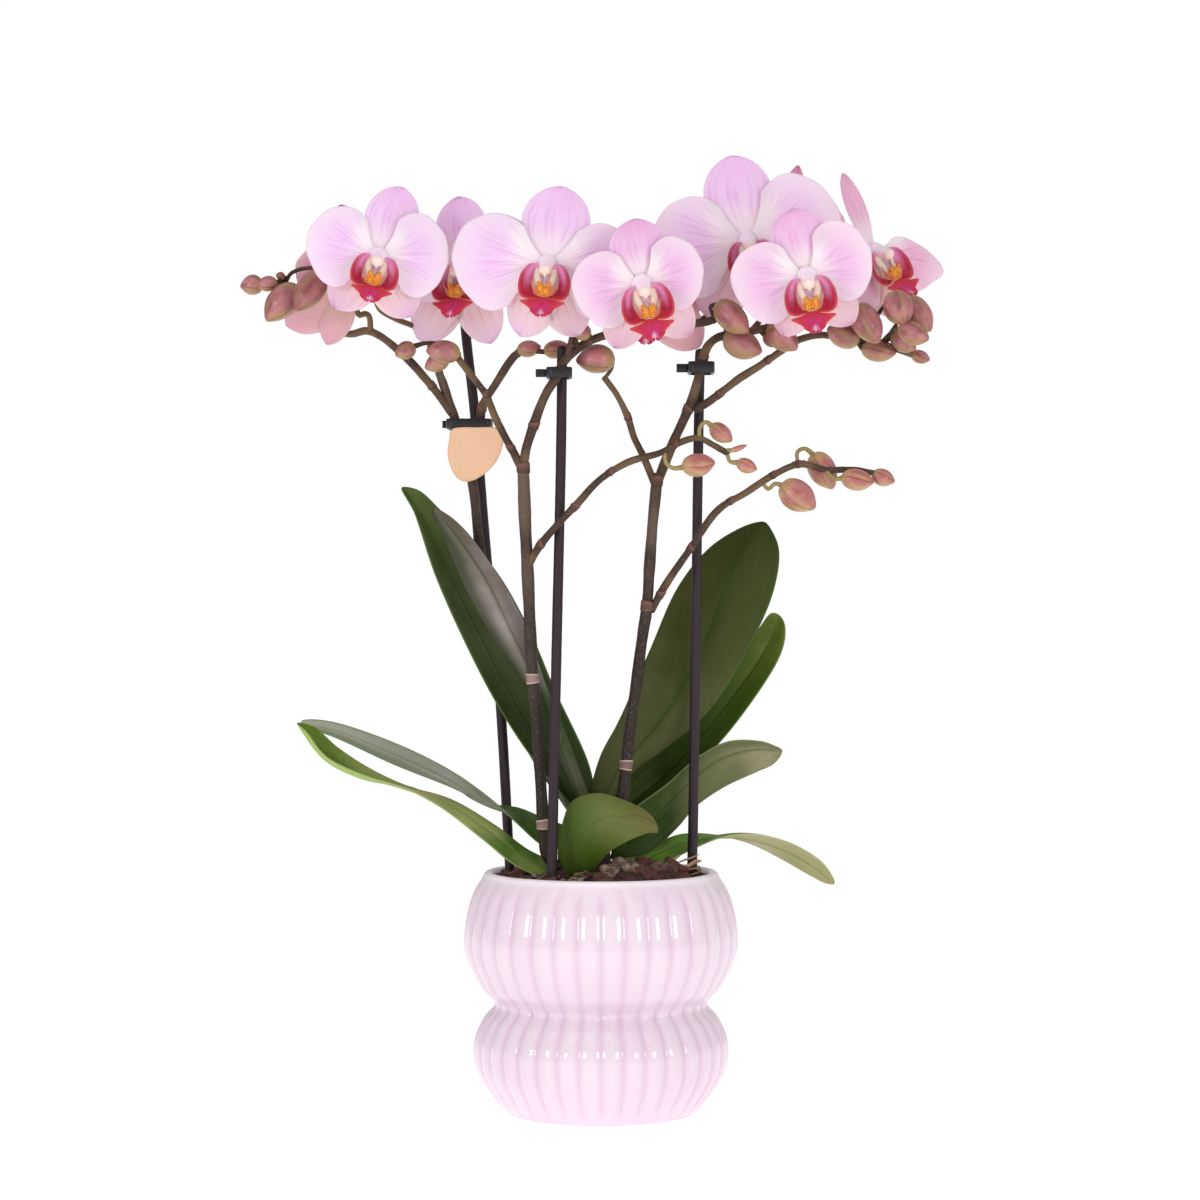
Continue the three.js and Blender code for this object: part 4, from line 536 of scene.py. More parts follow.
class Finish:
    """One procedural material, built round a Principled shader."""

    def __init__(self, name, **constants):
        self.material = bpy.data.materials.new(name)
        self.material.use_nodes = True
        self.tree = self.material.node_tree
        self.shader = self.tree.nodes["Principled BSDF"]
        for key, value in constants.items():
            self.shader.inputs[key.replace("_", " ").title().replace("Ior", "IOR")].default_value = value

    def node(self, kind, settings, values=None, output=0):
        """A node with its settings made first, then the values or links of its sockets."""
        node = self.tree.nodes.new(kind)
        for key, value in settings.items():
            if key == "stops":
                ramp = node.color_ramp
                while len(ramp.elements) < len(value):
                    ramp.elements.new(0.5)
                for element, (at, colour) in zip(ramp.elements, value):
                    element.position = at
                    element.color = colour
            else:
                setattr(node, key, value)
        for key, value in (values or {}).items():
            socket = node.inputs[key]
            if isinstance(value, Wire):
                self.tree.links.new(value.socket, socket)
            else:
                socket.default_value = value
        return Wire(self, node.outputs[output])

    def part(self, vector, axis):
        """One of the three numbers of a vector."""
        return self.node("ShaderNodeSeparateXYZ", {}, {0: vector}, "XYZ".index(axis))

    def mark(self, axis):
        """One of the three numbers that the form carries."""
        return self.part(self.node("ShaderNodeAttribute", {"attribute_name": "marks"}, output="Vector"), axis)

    def place(self):
        """The place on the object, in millimetres."""
        return self.node("ShaderNodeTexCoord", {}, output="Object") * 1000

    def facing_up(self):
        """From -1 where the surface faces down to 1 where it faces up."""
        return self.part(self.node("ShaderNodeNewGeometry", {}, output="Normal"), "Z")

    def grain(self, where, scale, detail=3, rough=0.5):
        """Smooth noise about 0.5, with features one over scale apart."""
        values = {"Vector": where, "Scale": scale, "Detail": detail, "Roughness": rough}
        return self.node("ShaderNodeTexNoise", {}, values, "Fac")

    def vector(self, x, y, z):
        return self.node("ShaderNodeCombineXYZ", {}, {0: x, 1: y, 2: z})

    def mix(self, mask, low, high):
        """A colour between two others."""
        return self.node("ShaderNodeMix", {"data_type": "RGBA"}, {0: mask, 6: low, 7: high}, 2)

    def wear(self, colour=None, roughness=None, relief=None, depth=0.1):
        """Sends what varies over the surface to the shader. Relief is a height in millimetres times depth."""
        if colour is not None:
            self.tree.links.new(colour.socket, self.shader.inputs["Base Color"])
        if roughness is not None:
            self.tree.links.new(roughness.socket, self.shader.inputs["Roughness"])
        if relief is not None:
            values = {"Height": relief, "Distance": depth * MM, "Strength": 1.0}
            bump = self.node("ShaderNodeBump", {}, values)
            self.tree.links.new(bump.socket, self.shader.inputs["Normal"])
        return self.material


# The pot


def glaze():
    """Thin pale pink glaze: it pools in grooves, thins on crests and rim, with painted shade where it faces
    down.
    """
    f = Finish("glaze", coat_weight=0.35, coat_roughness=0.04)
    pool, height = f.mark("X"), f.mark("Y")
    cloud = f.grain(f.place(), 0.03, 2)
    crest = f.mix(cloud.fade(0.35, 0.65), paint(238, 221, 232), paint(235, 215, 229))
    colour = f.mix(pool.fade(0.1, 1.0) * (0.3 + 0.35 * cloud), crest, paint(222, 184, 212))
    # Painted shade: the glaze turns darker where its surface faces down
    colour = f.mix(f.facing_up().fade(0.1, -0.9) * 0.5, colour, paint(216, 196, 210))
    colour = f.mix(height.fade(0.965, 0.99) * 0.8, colour, paint(252, 240, 248))
    ripple = f.grain(f.place(), 0.1, 2)
    specks = f.grain(f.place(), 2.2, 1).fade(0.74, 0.8)
    colour = f.mix(specks * 0.12, colour, paint(214, 160, 190))
    return f.wear(colour, 0.04 + cloud * 0.03, ripple, 0.12)


def glazed_inside():
    """The glaze inside the pot, a warmer pink in its own shade."""
    f = Finish("glaze_inside", coat_weight=0.2)
    cloud = f.grain(f.place(), 0.05, 2)
    colour = f.mix(cloud, paint(240, 205, 232), paint(231, 188, 220))
    return f.wear(colour, 0.1 + cloud * 0.06, cloud, 0.2)


def bare_foot():
    """Unglazed clay under the foot."""
    f = Finish("bare_clay")
    grit = f.grain(f.place(), 1.6, 4)
    return f.wear(f.mix(grit, paint(236, 224, 214), paint(214, 198, 186)), 0.8 + grit * 0.1, grit, 0.2)


def rib_strength(z):
    """How deep the grooves are at a height: shallow at the foot, and gone under the rim."""
    return np.minimum(1, np.minimum(np.clip((104 - z) / 10, 0, 1), np.maximum(0.25, z / 7)))


ROWS_OUTSIDE = 104
ROWS_RIM = 9
ROWS_INSIDE = 40
STEPS_PER_RIB = 10
# The materials of the pot, in the order that its piece holds them
GLAZE, INSIDE, CLAY = range(3)


def make_pot():
    form = Form()
    around = RIBS * STEPS_PER_RIB
    turns = 2 * math.pi * np.arange(around) / around - math.pi / 2
    across = np.abs(2 * (np.arange(around) % STEPS_PER_RIB) / STEPS_PER_RIB - 1)
    groove = across**2
    foot = [[r, z, 0] for r, z in POT_FOOT]
    outer = through([[r, z, 0] for r, z in POT_OUTSIDE], ROWS_OUTSIDE)
    rim = [[RIM_RADIUS + RIM_WIDE * math.cos(a), RIM_LEVEL + RIM_TALL * math.sin(a), 0]
           for a in np.linspace(0.35, 2.7, ROWS_RIM)]
    inner = through([[r, z, 0] for r, z in POT_INSIDE], ROWS_INSIDE)
    floor = [[FLOOR_RADIUS * share, POT_FLOOR, 0] for share in (0.9, 0.5, 0.02)]
    profile = np.vstack([foot, outer, rim, inner, floor])
    ribbed = np.zeros(len(profile))
    ribbed[len(foot):len(foot) + len(outer)] = rib_strength(outer[:, 1])
    depth = ribbed[:, None] * groove[None, :]
    radius = profile[:, 0][:, None] - RIB_DEPTH * GROOVE_SHARE * depth
    points = np.stack([radius * np.cos(turns), radius * np.sin(turns),
                       np.repeat(profile[:, 1][:, None], around, 1)], -1)
    marks = np.stack([depth, points[..., 2] / POT_HEIGHT, np.zeros_like(depth)], -1)
    faces = grid_faces(len(profile), around, closed=True)
    inside_from = len(foot) + len(outer) + ROWS_RIM - 2
    finish = []
    for row in range(len(profile) - 1):
        kind = CLAY if row < len(foot) - 1 else (INSIDE if row >= inside_from else GLAZE)
        finish += [kind] * around
    form.add(points, marks, faces, finish)
    size = len(profile) * around
    form.faces.append(tuple(range(around - 1, -1, -1)))
    form.faces.append(tuple(range(size - around, size)))
    form.finish += [CLAY, INSIDE]
    piece("ribbed_pot", form, [glaze(), glazed_inside(), bare_foot()], "glaze", "pot")


# The bark


def bark_skin():
    """Pine bark: each chip has its own tone, with a fibrous grain, worn pale ridges and dark hollows."""
    f = Finish("bark_chips", specular_ior_level=0.55)
    tone, kind = f.mark("X"), f.mark("Y")
    where = f.place()
    fibre = f.grain(where * (1.0, 1.0, 0.35), 1.5, 5, 0.7)
    flake = f.grain(where, 0.5, 5, 0.65)
    stops = [(0.0, paint(30, 20, 20)), (0.3, paint(66, 38, 34)), (0.52, paint(108, 60, 50)),
             (0.7, paint(74, 50, 46)), (0.85, paint(126, 88, 74)), (1.0, paint(96, 78, 70))]
    brown = f.node("ShaderNodeValToRGB", {"stops": stops}, {0: tone * 0.8 + (flake - 0.5) * 0.7 + 0.08})
    brown = f.mix(fibre.fade(0.52, 0.8) * 0.7, brown, paint(28, 19, 19))
    brown = f.mix(flake.fade(0.56, 0.68) * fibre.fade(0.55, 0.4) * 0.55, brown, paint(170, 142, 130))
    patches = f.grain(where, 0.32, 3, 0.5)
    lichen = f.mix(fibre.fade(0.4, 0.7), paint(176, 162, 140), paint(112, 88, 70))
    colour = f.mix(kind.fade(0.8, 0.9) * patches.fade(0.44, 0.52), brown, lichen)
    straw = f.mix(fibre, paint(222, 188, 146), paint(150, 106, 70))
    colour = f.mix(kind.fade(1.8, 1.9), colour, straw)
    return f.wear(colour, 0.5 + flake * 0.4, fibre * 0.7 + flake * 1.2, 1.1)


def bark_height(x, y):
    mound = 2.4 * math.cos(min(1, math.hypot(x, y) / BARK_EDGE) * (math.pi / 2))
    return BARK_LEVEL + mound + 0.7 * math.sin(0.42 * x + 1.3) * math.cos(0.37 * y - 0.4)


def rough_block(cuts):
    """A cube's surface points and faces, with each side cut into squares and its edges rounded."""
    index, faces = {}, []
    for axis in range(3):
        for side in (-1, 1):
            for i in range(cuts):
                for j in range(cuts):
                    ring = [(i, j), (i + 1, j), (i + 1, j + 1), (i, j + 1)]
                    corners = []
                    for a, b in (ring if side > 0 else ring[::-1]):
                        spot = [0, 0, 0]
                        spot[axis] = side * cuts
                        spot[(axis + 1) % 3] = 2 * a - cuts
                        spot[(axis + 2) % 3] = 2 * b - cuts
                        corners.append(index.setdefault(tuple(spot), len(index)))
                    faces.append(tuple(corners))
    points = np.array(list(index), float) / cuts
    return points / (np.sum(np.abs(points) ** 7, axis=1, keepdims=True) ** (1 / 7)) * 0.5, faces


CHIP_BLOCK = rough_block(7)
LOOSE_CHIPS = 230
LICHENED = 1
STRAW = 2
# Larger chips, most of them in front: x, y, lift, length, width, height, turn, tilt, tone and kind
SHOWN_CHIPS = [
    [6, -27, 3.4, 12, 8, 5.5, 0.9, 0.35, 0.98, 1], [12, -20, 5.6, 13, 9, 6, 2.6, -0.3, 0.95, 1],
    [1, -33, 1.8, 9, 6, 4.5, 0.4, 0.3, 0.5, 0], [13, -33, 2.2, 11, 7, 5, -0.4, 0.25, 0.2, 0],
    [20, -27, 3.4, 10, 8, 6, 2.2, -0.3, 0.55, 0], [27, -22, 4.8, 11, 7, 7, 1, 0.4, 0.86, 0],
    [32, -12, 5, 10, 6, 7, 0.2, 0.6, 0.6, 0], [24, -32, 1.4, 8, 5, 4, 0.8, 0.2, 0.1, 0],
    [35, -22, 2, 8, 6, 4, 2.0, -0.3, 0.5, 0], [-30, -24, 1.8, 9, 5, 4, 1.2, 0.3, 0.3, 0],
    [-36, -10, 2.2, 9, 6, 5, 2.4, 0.3, 0.52, 0], [14, 18, 2.8, 9, 7, 5, 0.9, 0.2, 0.4, 0],
    [-22, -34, 0.8, 8, 5, 4, 0.2, 0.2, 0.2, 0], [18, -10, 6, 12, 7, 6, 1.7, 0.3, 0.6, 0],
]
THREADS = 60
# Strips of the dry sheath that curl round the right stick's foot
SHEATH_STRIPS = [
    [[29, -9, 105], [31, -10, 107.5], [35, -9, 109.6], [39, -7, 110.8], [43, -5, 112.4]],
    [[30.5, -8, 103.6], [33, -9.5, 105], [37, -9, 106.6], [41, -6.5, 109], [44, -4, 109.6]],
    [[34, -11, 103], [37, -11, 105.4], [40.5, -8, 106.4], [43.6, -5, 106.2]],
    [[28, -6, 104], [29.4, -7, 107.4], [32, -7.4, 110.4], [34.6, -6.4, 112]],
    [[37, -11, 103], [40, -9, 104], [43, -4.5, 104.6], [43.6, 0, 105.6], [42.4, 4, 107]],
]


def chip(form, x, y, lift, length, width, height, turn, tilt, tone, kind, seed):
    points, faces = CHIP_BLOCK
    body = points * [length, width, height]
    rough = ruffle(body, 0.32, seed) * 2.6 + ruffle(body, 0.9, seed + 50) * 0.8
    rough = rough + ruffle(body, 2.2, seed + 90) * 0.3
    body = body + unit(body) * rough[:, None]
    matrix = (Matrix.Translation((x, y, bark_height(x, y) + lift)) @ Matrix.Rotation(turn, 4, "Z")
              @ Matrix.Rotation(tilt, 4, "Y") @ Matrix.Rotation(tilt * 0.7, 4, "X"))
    m = np.array(matrix)
    form.add(body @ m[:3, :3].T + m[:3, 3], (tone, kind, 0), faces)


def make_bark():
    draw = random.Random(11)
    form = Form()
    around, rings = 72, 18
    radii = np.linspace(0.5, BARK_EDGE, rings)
    turns = 2 * math.pi * np.arange(around) / around
    bed = np.array([[[r * math.cos(t), r * math.sin(t), bark_height(r * math.cos(t), r * math.sin(t)) - 0.6]
                     for t in turns] for r in radii])
    bed[..., 2] += ruffle(bed, 0.5, 7) * 1.4
    low = np.array([[[r * math.cos(t), r * math.sin(t), z] for t in turns]
                    for r, z in ((BARK_EDGE - 0.4, 98), (37, 10), (0.5, 9.6))])
    body = np.concatenate([bed, low])
    faces = [tuple(reversed(face)) for face in grid_faces(len(body), around, closed=True)]
    size = len(body) * around
    faces += [tuple(range(around)), tuple(range(size - 1, size - around - 1, -1))]
    form.add(body, (0.12, 0, 0), faces)
    for k in range(LOOSE_CHIPS):
        angle = 2 * math.pi * draw.random()
        r = (BARK_EDGE - 5) * math.sqrt(draw.random())
        length = draw.uniform(4.5, 10)
        kind = LICHENED if draw.random() < 0.12 else 0
        chip(form, r * math.cos(angle), r * math.sin(angle), draw.uniform(-0.4, 2.2), length,
             length * draw.uniform(0.5, 0.8), draw.uniform(2, 4), draw.uniform(0, math.pi),
             draw.uniform(-0.5, 0.5), draw.random(), kind, k)
    for k, sizes in enumerate(SHOWN_CHIPS):
        chip(form, *sizes, seed=300 + k)
    # Coir threads and, at the right stick's foot, the curled strips of a dry sheath
    for k in range(THREADS):
        angle = draw.uniform(0, 2 * math.pi)
        r = (BARK_EDGE - 6) * math.sqrt(draw.random())
        x, y = r * math.cos(angle), r * math.sin(angle)
        z = bark_height(x, y) + draw.uniform(1.5, 3)
        way, length = draw.uniform(0, math.pi), draw.uniform(5, 12)
        knots = [[x + length * s * math.cos(way + s), y + length * s * math.sin(way + s),
                  z + draw.uniform(0, 1.8), 0.22] for s in (-0.5, -0.15, 0.2, 0.5)]
        rod(form, through(knots, 10), 5, (0, STRAW, 0))
    for k, knots in enumerate(SHEATH_STRIPS):
        line = through(knots, 30)
        along = np.linspace(0, math.pi, 30)
        width = (0.35 + 1.0 * np.sin(along)) * (1.1 if k < 2 else 0.7)
        lean = np.array([0.15, -0.45, 0.88]) if k % 2 else np.array([0.3, -0.85, 0.4])
        curl = np.array([0.2, 0.8, 0.3]) * 0.8
        strip = np.stack([line + lean * (width * s)[:, None] + curl * (width * s * s)[:, None]
                          for s in (-1, -0.5, 0, 0.5, 1)], 1)
        sheet(form, strip, (0.3 * k, STRAW, 0), 0.3)
    piece("bark_bed", form, [bark_skin()], "bark", "bark")


def dull_plastic():
    """The thin dark plastic of the grow pot."""
    f = Finish("dark_plastic")
    scuff = f.grain(f.place(), 0.5, 4)
    return f.wear(f.mix(scuff, paint(52, 46, 43), paint(66, 58, 54)), 0.45 + scuff * 0.2, scuff, 0.05)


# Leaves

LEAF_ROWS = 80
LEAF_COLS = 25
LEAF_SLOTS = {"upper": "leaf", "under": "leaf_underside", "fresh": "leaf_light"}
# What the front of each leaf shows, and its colours at the base, in the middle, towards the tip, in patches,
# along the midrib and at the margin, how rough it is, and how much painted shade darkens its left half, or
# below 0 its right half
LEAF_FRONTS = {
    "leaf_left_tall_back": ["upper", (50, 64, 26), (78, 88, 54), (74, 90, 40), (58, 68, 38), (40, 54, 18),
                            (92, 116, 48), 0.4],
    "leaf_left_tall_front": ["under", (44, 68, 20), (162, 150, 146), (98, 94, 78), (112, 104, 90),
                             (44, 52, 28), (76, 88, 44), 0.4, 0.85],
    "leaf_left_low_back": ["under", (60, 90, 26), (128, 128, 104), (146, 148, 124), (112, 118, 90),
                           (72, 84, 50), (116, 130, 82), 0.42],
    "leaf_left_low_front": ["fresh", (76, 110, 34), (174, 174, 116), (82, 110, 22), (156, 170, 96),
                            (114, 140, 60), (164, 178, 116), 0.38],
    "leaf_right_large": ["upper", (80, 82, 46), (64, 69, 25), (49, 58, 16), (56, 66, 24), (38, 60, 14),
                         (72, 100, 30), 0.42],
    "leaf_right_back": ["upper", (42, 58, 12), (56, 78, 14), (98, 112, 40), (48, 68, 14), (34, 58, 6),
                        (120, 144, 58), 0.4],
    "leaf_right_middle": ["under", (48, 70, 16), (112, 114, 75), (154, 149, 118), (84, 98, 50), (56, 78, 24),
                          (138, 144, 96), 0.4, 0.4],
    "leaf_right_low": ["fresh", (76, 108, 28), (180, 176, 136), (162, 162, 110), (150, 154, 100),
                       (118, 134, 66), (184, 190, 142), 0.4],
    "leaf_front_short": ["fresh", (70, 96, 24), (106, 116, 58), (108, 106, 60), (84, 100, 42), (94, 106, 48),
                         (124, 128, 72), 0.38],
}
LEAF_BACKS = {
    "upper": [(66, 84, 40), (112, 110, 100), (112, 112, 92), (90, 94, 76), (62, 78, 40), (84, 104, 56), 0.44],
    "under": [(44, 74, 24), (48, 64, 26), (56, 72, 34), (66, 74, 44), (34, 62, 20), (86, 112, 48), 0.3],
    "fresh": [(84, 104, 56), (124, 130, 100), (132, 134, 104), (104, 112, 80), (84, 100, 56), (120, 132, 84),
              0.44],
    # The back that shows on leaf_left_low_back: its pale grey middle is partly the grey of the underside and
    # partly painted sheen, and painted shade darkens its right half
    "leaf_left_low_back": [(62, 92, 26), (150, 148, 138), (144, 144, 126), (140, 140, 128), (58, 84, 34),
                           (96, 120, 60), 0.5, -0.6],
    "leaf_left_low_front": [(80, 104, 40), (150, 172, 92), (158, 182, 96), (148, 172, 86), (110, 136, 60),
                            (176, 194, 120), 0.4],
    "leaf_right_low": [(92, 132, 40), (124, 152, 76), (132, 150, 84), (96, 136, 44), (96, 124, 50),
                       (160, 176, 112), 0.4],
}
# The brown crease on the short front leaf: its width, its depth, and its line as x and height
CREASE_WIDTH = 0.75
CREASE_DEPTH = 0.25
CREASE = [[0.6, 113.2], [-0.2, 116.8], [0.8, 120], [3.2, 122.6], [5.2, 125.2], [7.2, 128.8], [10.4, 131.4],
          [14.4, 131.9], [18.6, 130.5], [22, 128.6]]


def leaf_skin(name, base, middle, outer, patch, heart, margin, gloss, half=0.0):
    """A leathery leaf: long fine veins, a sunken midrib, a thin bright margin, faint marks of age, and for
    some, painted shade over one half.
    """
    f = Finish(name, specular_ior_level=0.16)
    across, along, scar = f.mark("X"), f.mark("Y"), f.mark("Z")
    tones = (base, middle, outer, patch, heart, margin)
    base, middle, outer, patch, heart, margin = (paint(*tone) for tone in tones)
    where = f.place()
    cloud = f.grain(where, 0.04, 3)
    mottle = f.grain(where, 0.4, 4, 0.6)
    lines = f.grain(f.vector(across * 22, along * 1.6, 0.5), 1.0, 3, 0.6)
    reach = along + (cloud - 0.5) * 0.25
    colour = f.mix(reach.fade(0.24, 0.56), base, middle)
    colour = f.mix(reach.fade(0.5, 0.85), colour, outer)
    colour = f.mix(cloud.fade(0.46, 0.62) * 0.45, colour, patch)
    colour = f.mix(mottle.fade(0.45, 0.75) * 0.2, colour, patch)
    colour = f.mix(lines.fade(0.45, 0.75) * 0.16, colour, margin)
    # Painted shade: one half of the leaf, chosen by the sign of half, darkens towards the midrib colour
    painted_half_shade = across * (-1 if half > 0 else 1) + (cloud - 0.5) * 0.3
    colour = f.mix(painted_half_shade.fade(0.0, 0.85) * abs(half), colour, heart)
    colour = f.mix(across.size().fade(0.22, 0.0) * 0.35, colour, heart)
    colour = f.mix(across.size().fade(0.04, 0.0) * along.fade(1.0, 0.8) * 0.6, colour, heart)
    colour = f.mix(across.size().fade(0.94, 1.0) * 0.6, colour, margin)
    spots = f.grain(where, 0.55, 2).fade(0.68, 0.74) * f.grain(where, 0.06, 2).fade(0.5, 0.62)
    colour = f.mix(spots * 0.3, colour, paint(124, 118, 78))
    colour = f.mix((scar + (mottle - 0.5) * 1.2).fade(0.5, 1.0) * 0.6, colour, paint(118, 84, 52))
    relief = lines * 0.2 - across.size().fade(0.07, 0.0) * 1.1 + f.grain(where, 0.2, 3) * 0.4 + mottle * 0.05
    return f.wear(colour, gloss + cloud * 0.14 + mottle * 0.1, relief, 0.18)


def nearness(points, line, width):
    """How near each point is to a line in the front view: 1 on it, falling to 0."""
    best = np.full(points.shape[:-1], 1e9)
    for a, b in zip(np.array(line)[:-1], np.array(line)[1:]):
        along = np.clip(((points - a) @ (b - a)) / np.dot(b - a, b - a), 0, 1)
        best = np.minimum(best, np.linalg.norm(points - a - along[..., None] * (b - a), axis=-1))
    return np.exp(-((best / width) ** 2))


def make_leaf(name, seed):
    left, rib, right = ([place(*p) for p in rail] for rail in LEAVES[name])
    along = 1 - (1 - np.linspace(0, 1, LEAF_ROWS)) ** 1.35
    # The outline runs round the tip in one curve, so the tip is rounded
    tip = (left[-1] + right[-1]) / 2
    turn = [tip + (rail[-2] - rib[-2]) * 0.6 + (rib[-2] - tip) * 0.3 for rail in (left, right)]
    if name == "leaf_right_large":  # the broad leaf is round enough as it is
        turn = [left[-2] * 0.35 + tip * 0.65, right[-2] * 0.35 + tip * 0.65]
        turn = [point + (tip - rib[-2]) * 0.06 for point in turn]
    outline = left[:-1] + [turn[0], tip, turn[1]] + right[-2::-1]
    left, right = through(outline, along / 2), through(outline, 1 - along / 2)
    rib = through(rib[:-1] + [tip], along)
    cols = LEAF_COLS * (2 if name == "leaf_front_short" else 1)
    side = np.linspace(-1, 1, cols)
    middle = np.empty((LEAF_ROWS, cols, 3))
    for k, s in enumerate(side):
        edge = left if s < 0 else right
        middle[:, k] = rib + (edge - rib) * abs(s)
    middle[-1] = middle[-1] * 0.02 + middle[-2] * 0.98
    width = np.linalg.norm(right - left, axis=1)
    normal = unit(np.cross(np.gradient(middle, axis=1), np.gradient(middle, axis=0)))
    # The halves are a little full between rib and margin, the rib is rounded off and the margin waves
    fold = np.sign(np.sum((rib - (left + right) / 2) * normal[:, cols // 2], axis=1))
    full = np.sin(np.pi * np.abs(side))[None, :] * 0.035 - np.exp(-(side / 0.12) ** 2)[None, :] * 0.02
    middle += normal * (full * (width * fold)[:, None])[..., None]
    wave = np.sin(along * (9 + seed % 4) + seed)[:, None] * (np.abs(side) ** 3)[None, :] * 0.45
    middle += normal * (wave * np.sin(np.pi * along)[:, None])[..., None]
    thick = 1.25 * (1 - 0.55 * np.abs(side) ** 2)[None, :] * (1.15 - 0.4 * along)[:, None]
    thick[-6:] *= np.linspace(1, 0.5, 6)[:, None]
    scar = np.zeros((LEAF_ROWS, cols))
    if name == "leaf_front_short":
        scar = nearness(middle[..., [0, 2]], CREASE, CREASE_WIDTH)
    middle -= normal * (CREASE_DEPTH * scar)[..., None]
    marks = np.stack(np.broadcast_arrays(side[None, :], along[:, None], scar), -1)
    form = Form()
    sheet(form, middle, marks, thick, 0, 1)
    kind, *front = LEAF_FRONTS[name]
    behind = LEAF_BACKS.get(name, LEAF_BACKS[kind])
    skins = [leaf_skin(name, *front), leaf_skin(name + "_behind", *behind)]
    piece("blade_" + name[5:], form, skins, LEAF_SLOTS[kind], name)


def make_leaves():
    for seed, name in enumerate(LEAVES):
        make_leaf(name, seed + 1)


def make_crown(stem):
    form = Form()
    rings = []
    for r, z in through([[r, z, 0] for r, z in CROWN], 30)[:, :2]:
        rings.append([CROWN_X, 0, z, max(r, 0.3) * (1 + 0.03 * math.sin(z * 1.1))])
    rod(form, rings, 20, (0.3, 0, 0))
    piece("short_stem", form, [stem], "stem", "crown")


# Flower stems


# What a point of a stem belongs to, as its first mark
MAIN_STEM = 0
SIDE_BRANCH = 0.6
PEDICEL = 0.85
BUD_STALK = 0.9
STUB = 1.9
NODE_SCALE = 2


def stem_skin():
    """Stems, dark and speckled below, brown above. The scales are pale at the low nodes, red-brown above."""
    f = Finish("stem_skin", specular_ior_level=0.25)
    kind, along = f.mark("X"), f.mark("Y")
    where = f.place()
    speck = f.grain(where, 1.3, 4, 0.7)
    cloud = f.grain(where, 0.05, 2)
    height = f.part(where, "Z")
    low = f.mix(cloud, paint(36, 27, 25), paint(50, 39, 34))
    high = f.mix(cloud.fade(0.35, 0.65), paint(68, 52, 46), paint(103, 84, 70))
    colour = f.mix((height + cloud * 60).fade(190, 340), low, high)
    stalk = f.mix(cloud.fade(0.4, 0.6), paint(70, 48, 36), paint(112, 86, 56))
    stalk = f.mix(height.fade(315, 300) * kind.fade(0.7, 0.9), stalk, paint(160, 140, 92))
    colour = f.mix(kind.fade(0.2, 0.9), colour, stalk)
    colour = f.mix(speck.fade(0.54, 0.7) * 0.45, colour, paint(146, 134, 114))
    colour = f.mix(speck.fade(0.42, 0.3) * 0.4, colour, paint(44, 32, 32))
    sleeve = f.mix(cloud.fade(0.4, 0.6) + speck * 0.3, paint(112, 88, 84), paint(150, 124, 118))
    dry = f.mix((along - 0.5).size().fade(0.32, 0.44), sleeve, paint(206, 182, 158))
    fresh = f.mix(along.fade(0.2, 1.0), paint(84, 60, 50), paint(122, 84, 74))
    scale = f.mix(height.fade(205, 225), dry, fresh)
    colour = f.mix(kind.fade(1.4, 1.6), colour, scale)
    return f.wear(colour, 0.42 + speck * 0.25, speck, 0.09)


def bud_skin():
    """Closed buds: three sepals that overlap, rosy with a painted sheen on each, olive at the base and
    underneath.
    """
    f = Finish("bud_skin", subsurface_weight=0.05, subsurface_scale=0.001, specular_ior_level=0.5)
    across, along, seed = f.mark("X"), f.mark("Y"), f.mark("Z")
    where = f.place()
    cloud = f.grain(where, 0.14, 3)
    speck = f.grain(where, 1.3, 4, 0.65)
    threads = f.grain(f.vector(across * 16, along * 1.2, seed), 1.0, 2)
    drift = cloud - 0.5
    high = f.part(where, "Z").fade(288, 312)
    rose = f.mix(cloud.fade(0.4, 0.6), paint(180, 109, 113), paint(139, 79, 80))
    rose = f.mix((1 - high) * 0.6, rose, paint(192, 110, 104))
    # Painted sheen: a paler rose band along the middle of each sepal, where a highlight falls
    painted_sheen = (across + drift * 0.3).fade(0.7, 0.45) * across.fade(0.1, 0.4)
    rose = f.mix(painted_sheen * 0.5, rose, paint(198, 132, 134))
    rose = f.mix(threads.fade(0.5, 0.66) * 0.35, rose, paint(134, 72, 66))
    green = f.mix(high, paint(192, 162, 112), f.mix(cloud, paint(148, 126, 74), paint(176, 144, 94)))
    below = (f.facing_up() + drift * 1.2).fade(-0.1, -0.9)
    colour = f.mix(((across + drift * 0.5).fade(0.7, 1.05) * 0.6).highest(below * 0.75), rose, green)
    colour = f.mix((along + drift * 0.4).fade(0.34, 0.04) * 0.85, colour, green)
    colour = f.mix((along + drift * 0.2).fade(0.82, 1.05) * 0.7, colour, paint(146, 84, 76))
    colour = f.mix(across.fade(0.1, 0.0) * 0.75, colour, paint(112, 76, 60))
    colour = f.mix(speck.fade(0.55, 0.75) * 0.22, colour, paint(228, 188, 176))
    relief = speck * 0.3 + threads * 0.3 - across.fade(0.07, 0.0) * 1.4
    return f.wear(colour, 0.2 + cloud * 0.14, relief, 0.16)


BUD_SIDES = 48
BUD_ROWS = 30
BUD_OUTLINE = [[0, 0.1], [0.04, 0.24], [0.13, 0.37], [0.28, 0.47], [0.46, 0.5], [0.64, 0.46], [0.8, 0.34],
               [0.91, 0.2], [0.97, 0.11], [1, 0.03]]
BUD_STRETCH = 1.1
BUD_SLIM = 0.93
STALK_RADIUS = 1.0
LINE_STEP = 2.0  # length between rings of a stem
BRANCH_RADIUS = 2.3  # a stem thinner than this is a side branch
BRANCH_RING = 2.2  # and so is a node ring thinner than this
SCALE_ROWS = (0.0, 0.2, 0.5, 0.8, 1.0)
SCALE_THICKNESS = 0.22


def rings_for(points):
    """Enough rings for a line through the points."""
    length = float(np.sum(np.linalg.norm(np.diff(np.array(points)[:, :3], axis=0), axis=1)))
    return max(6, int(length / LINE_STEP))


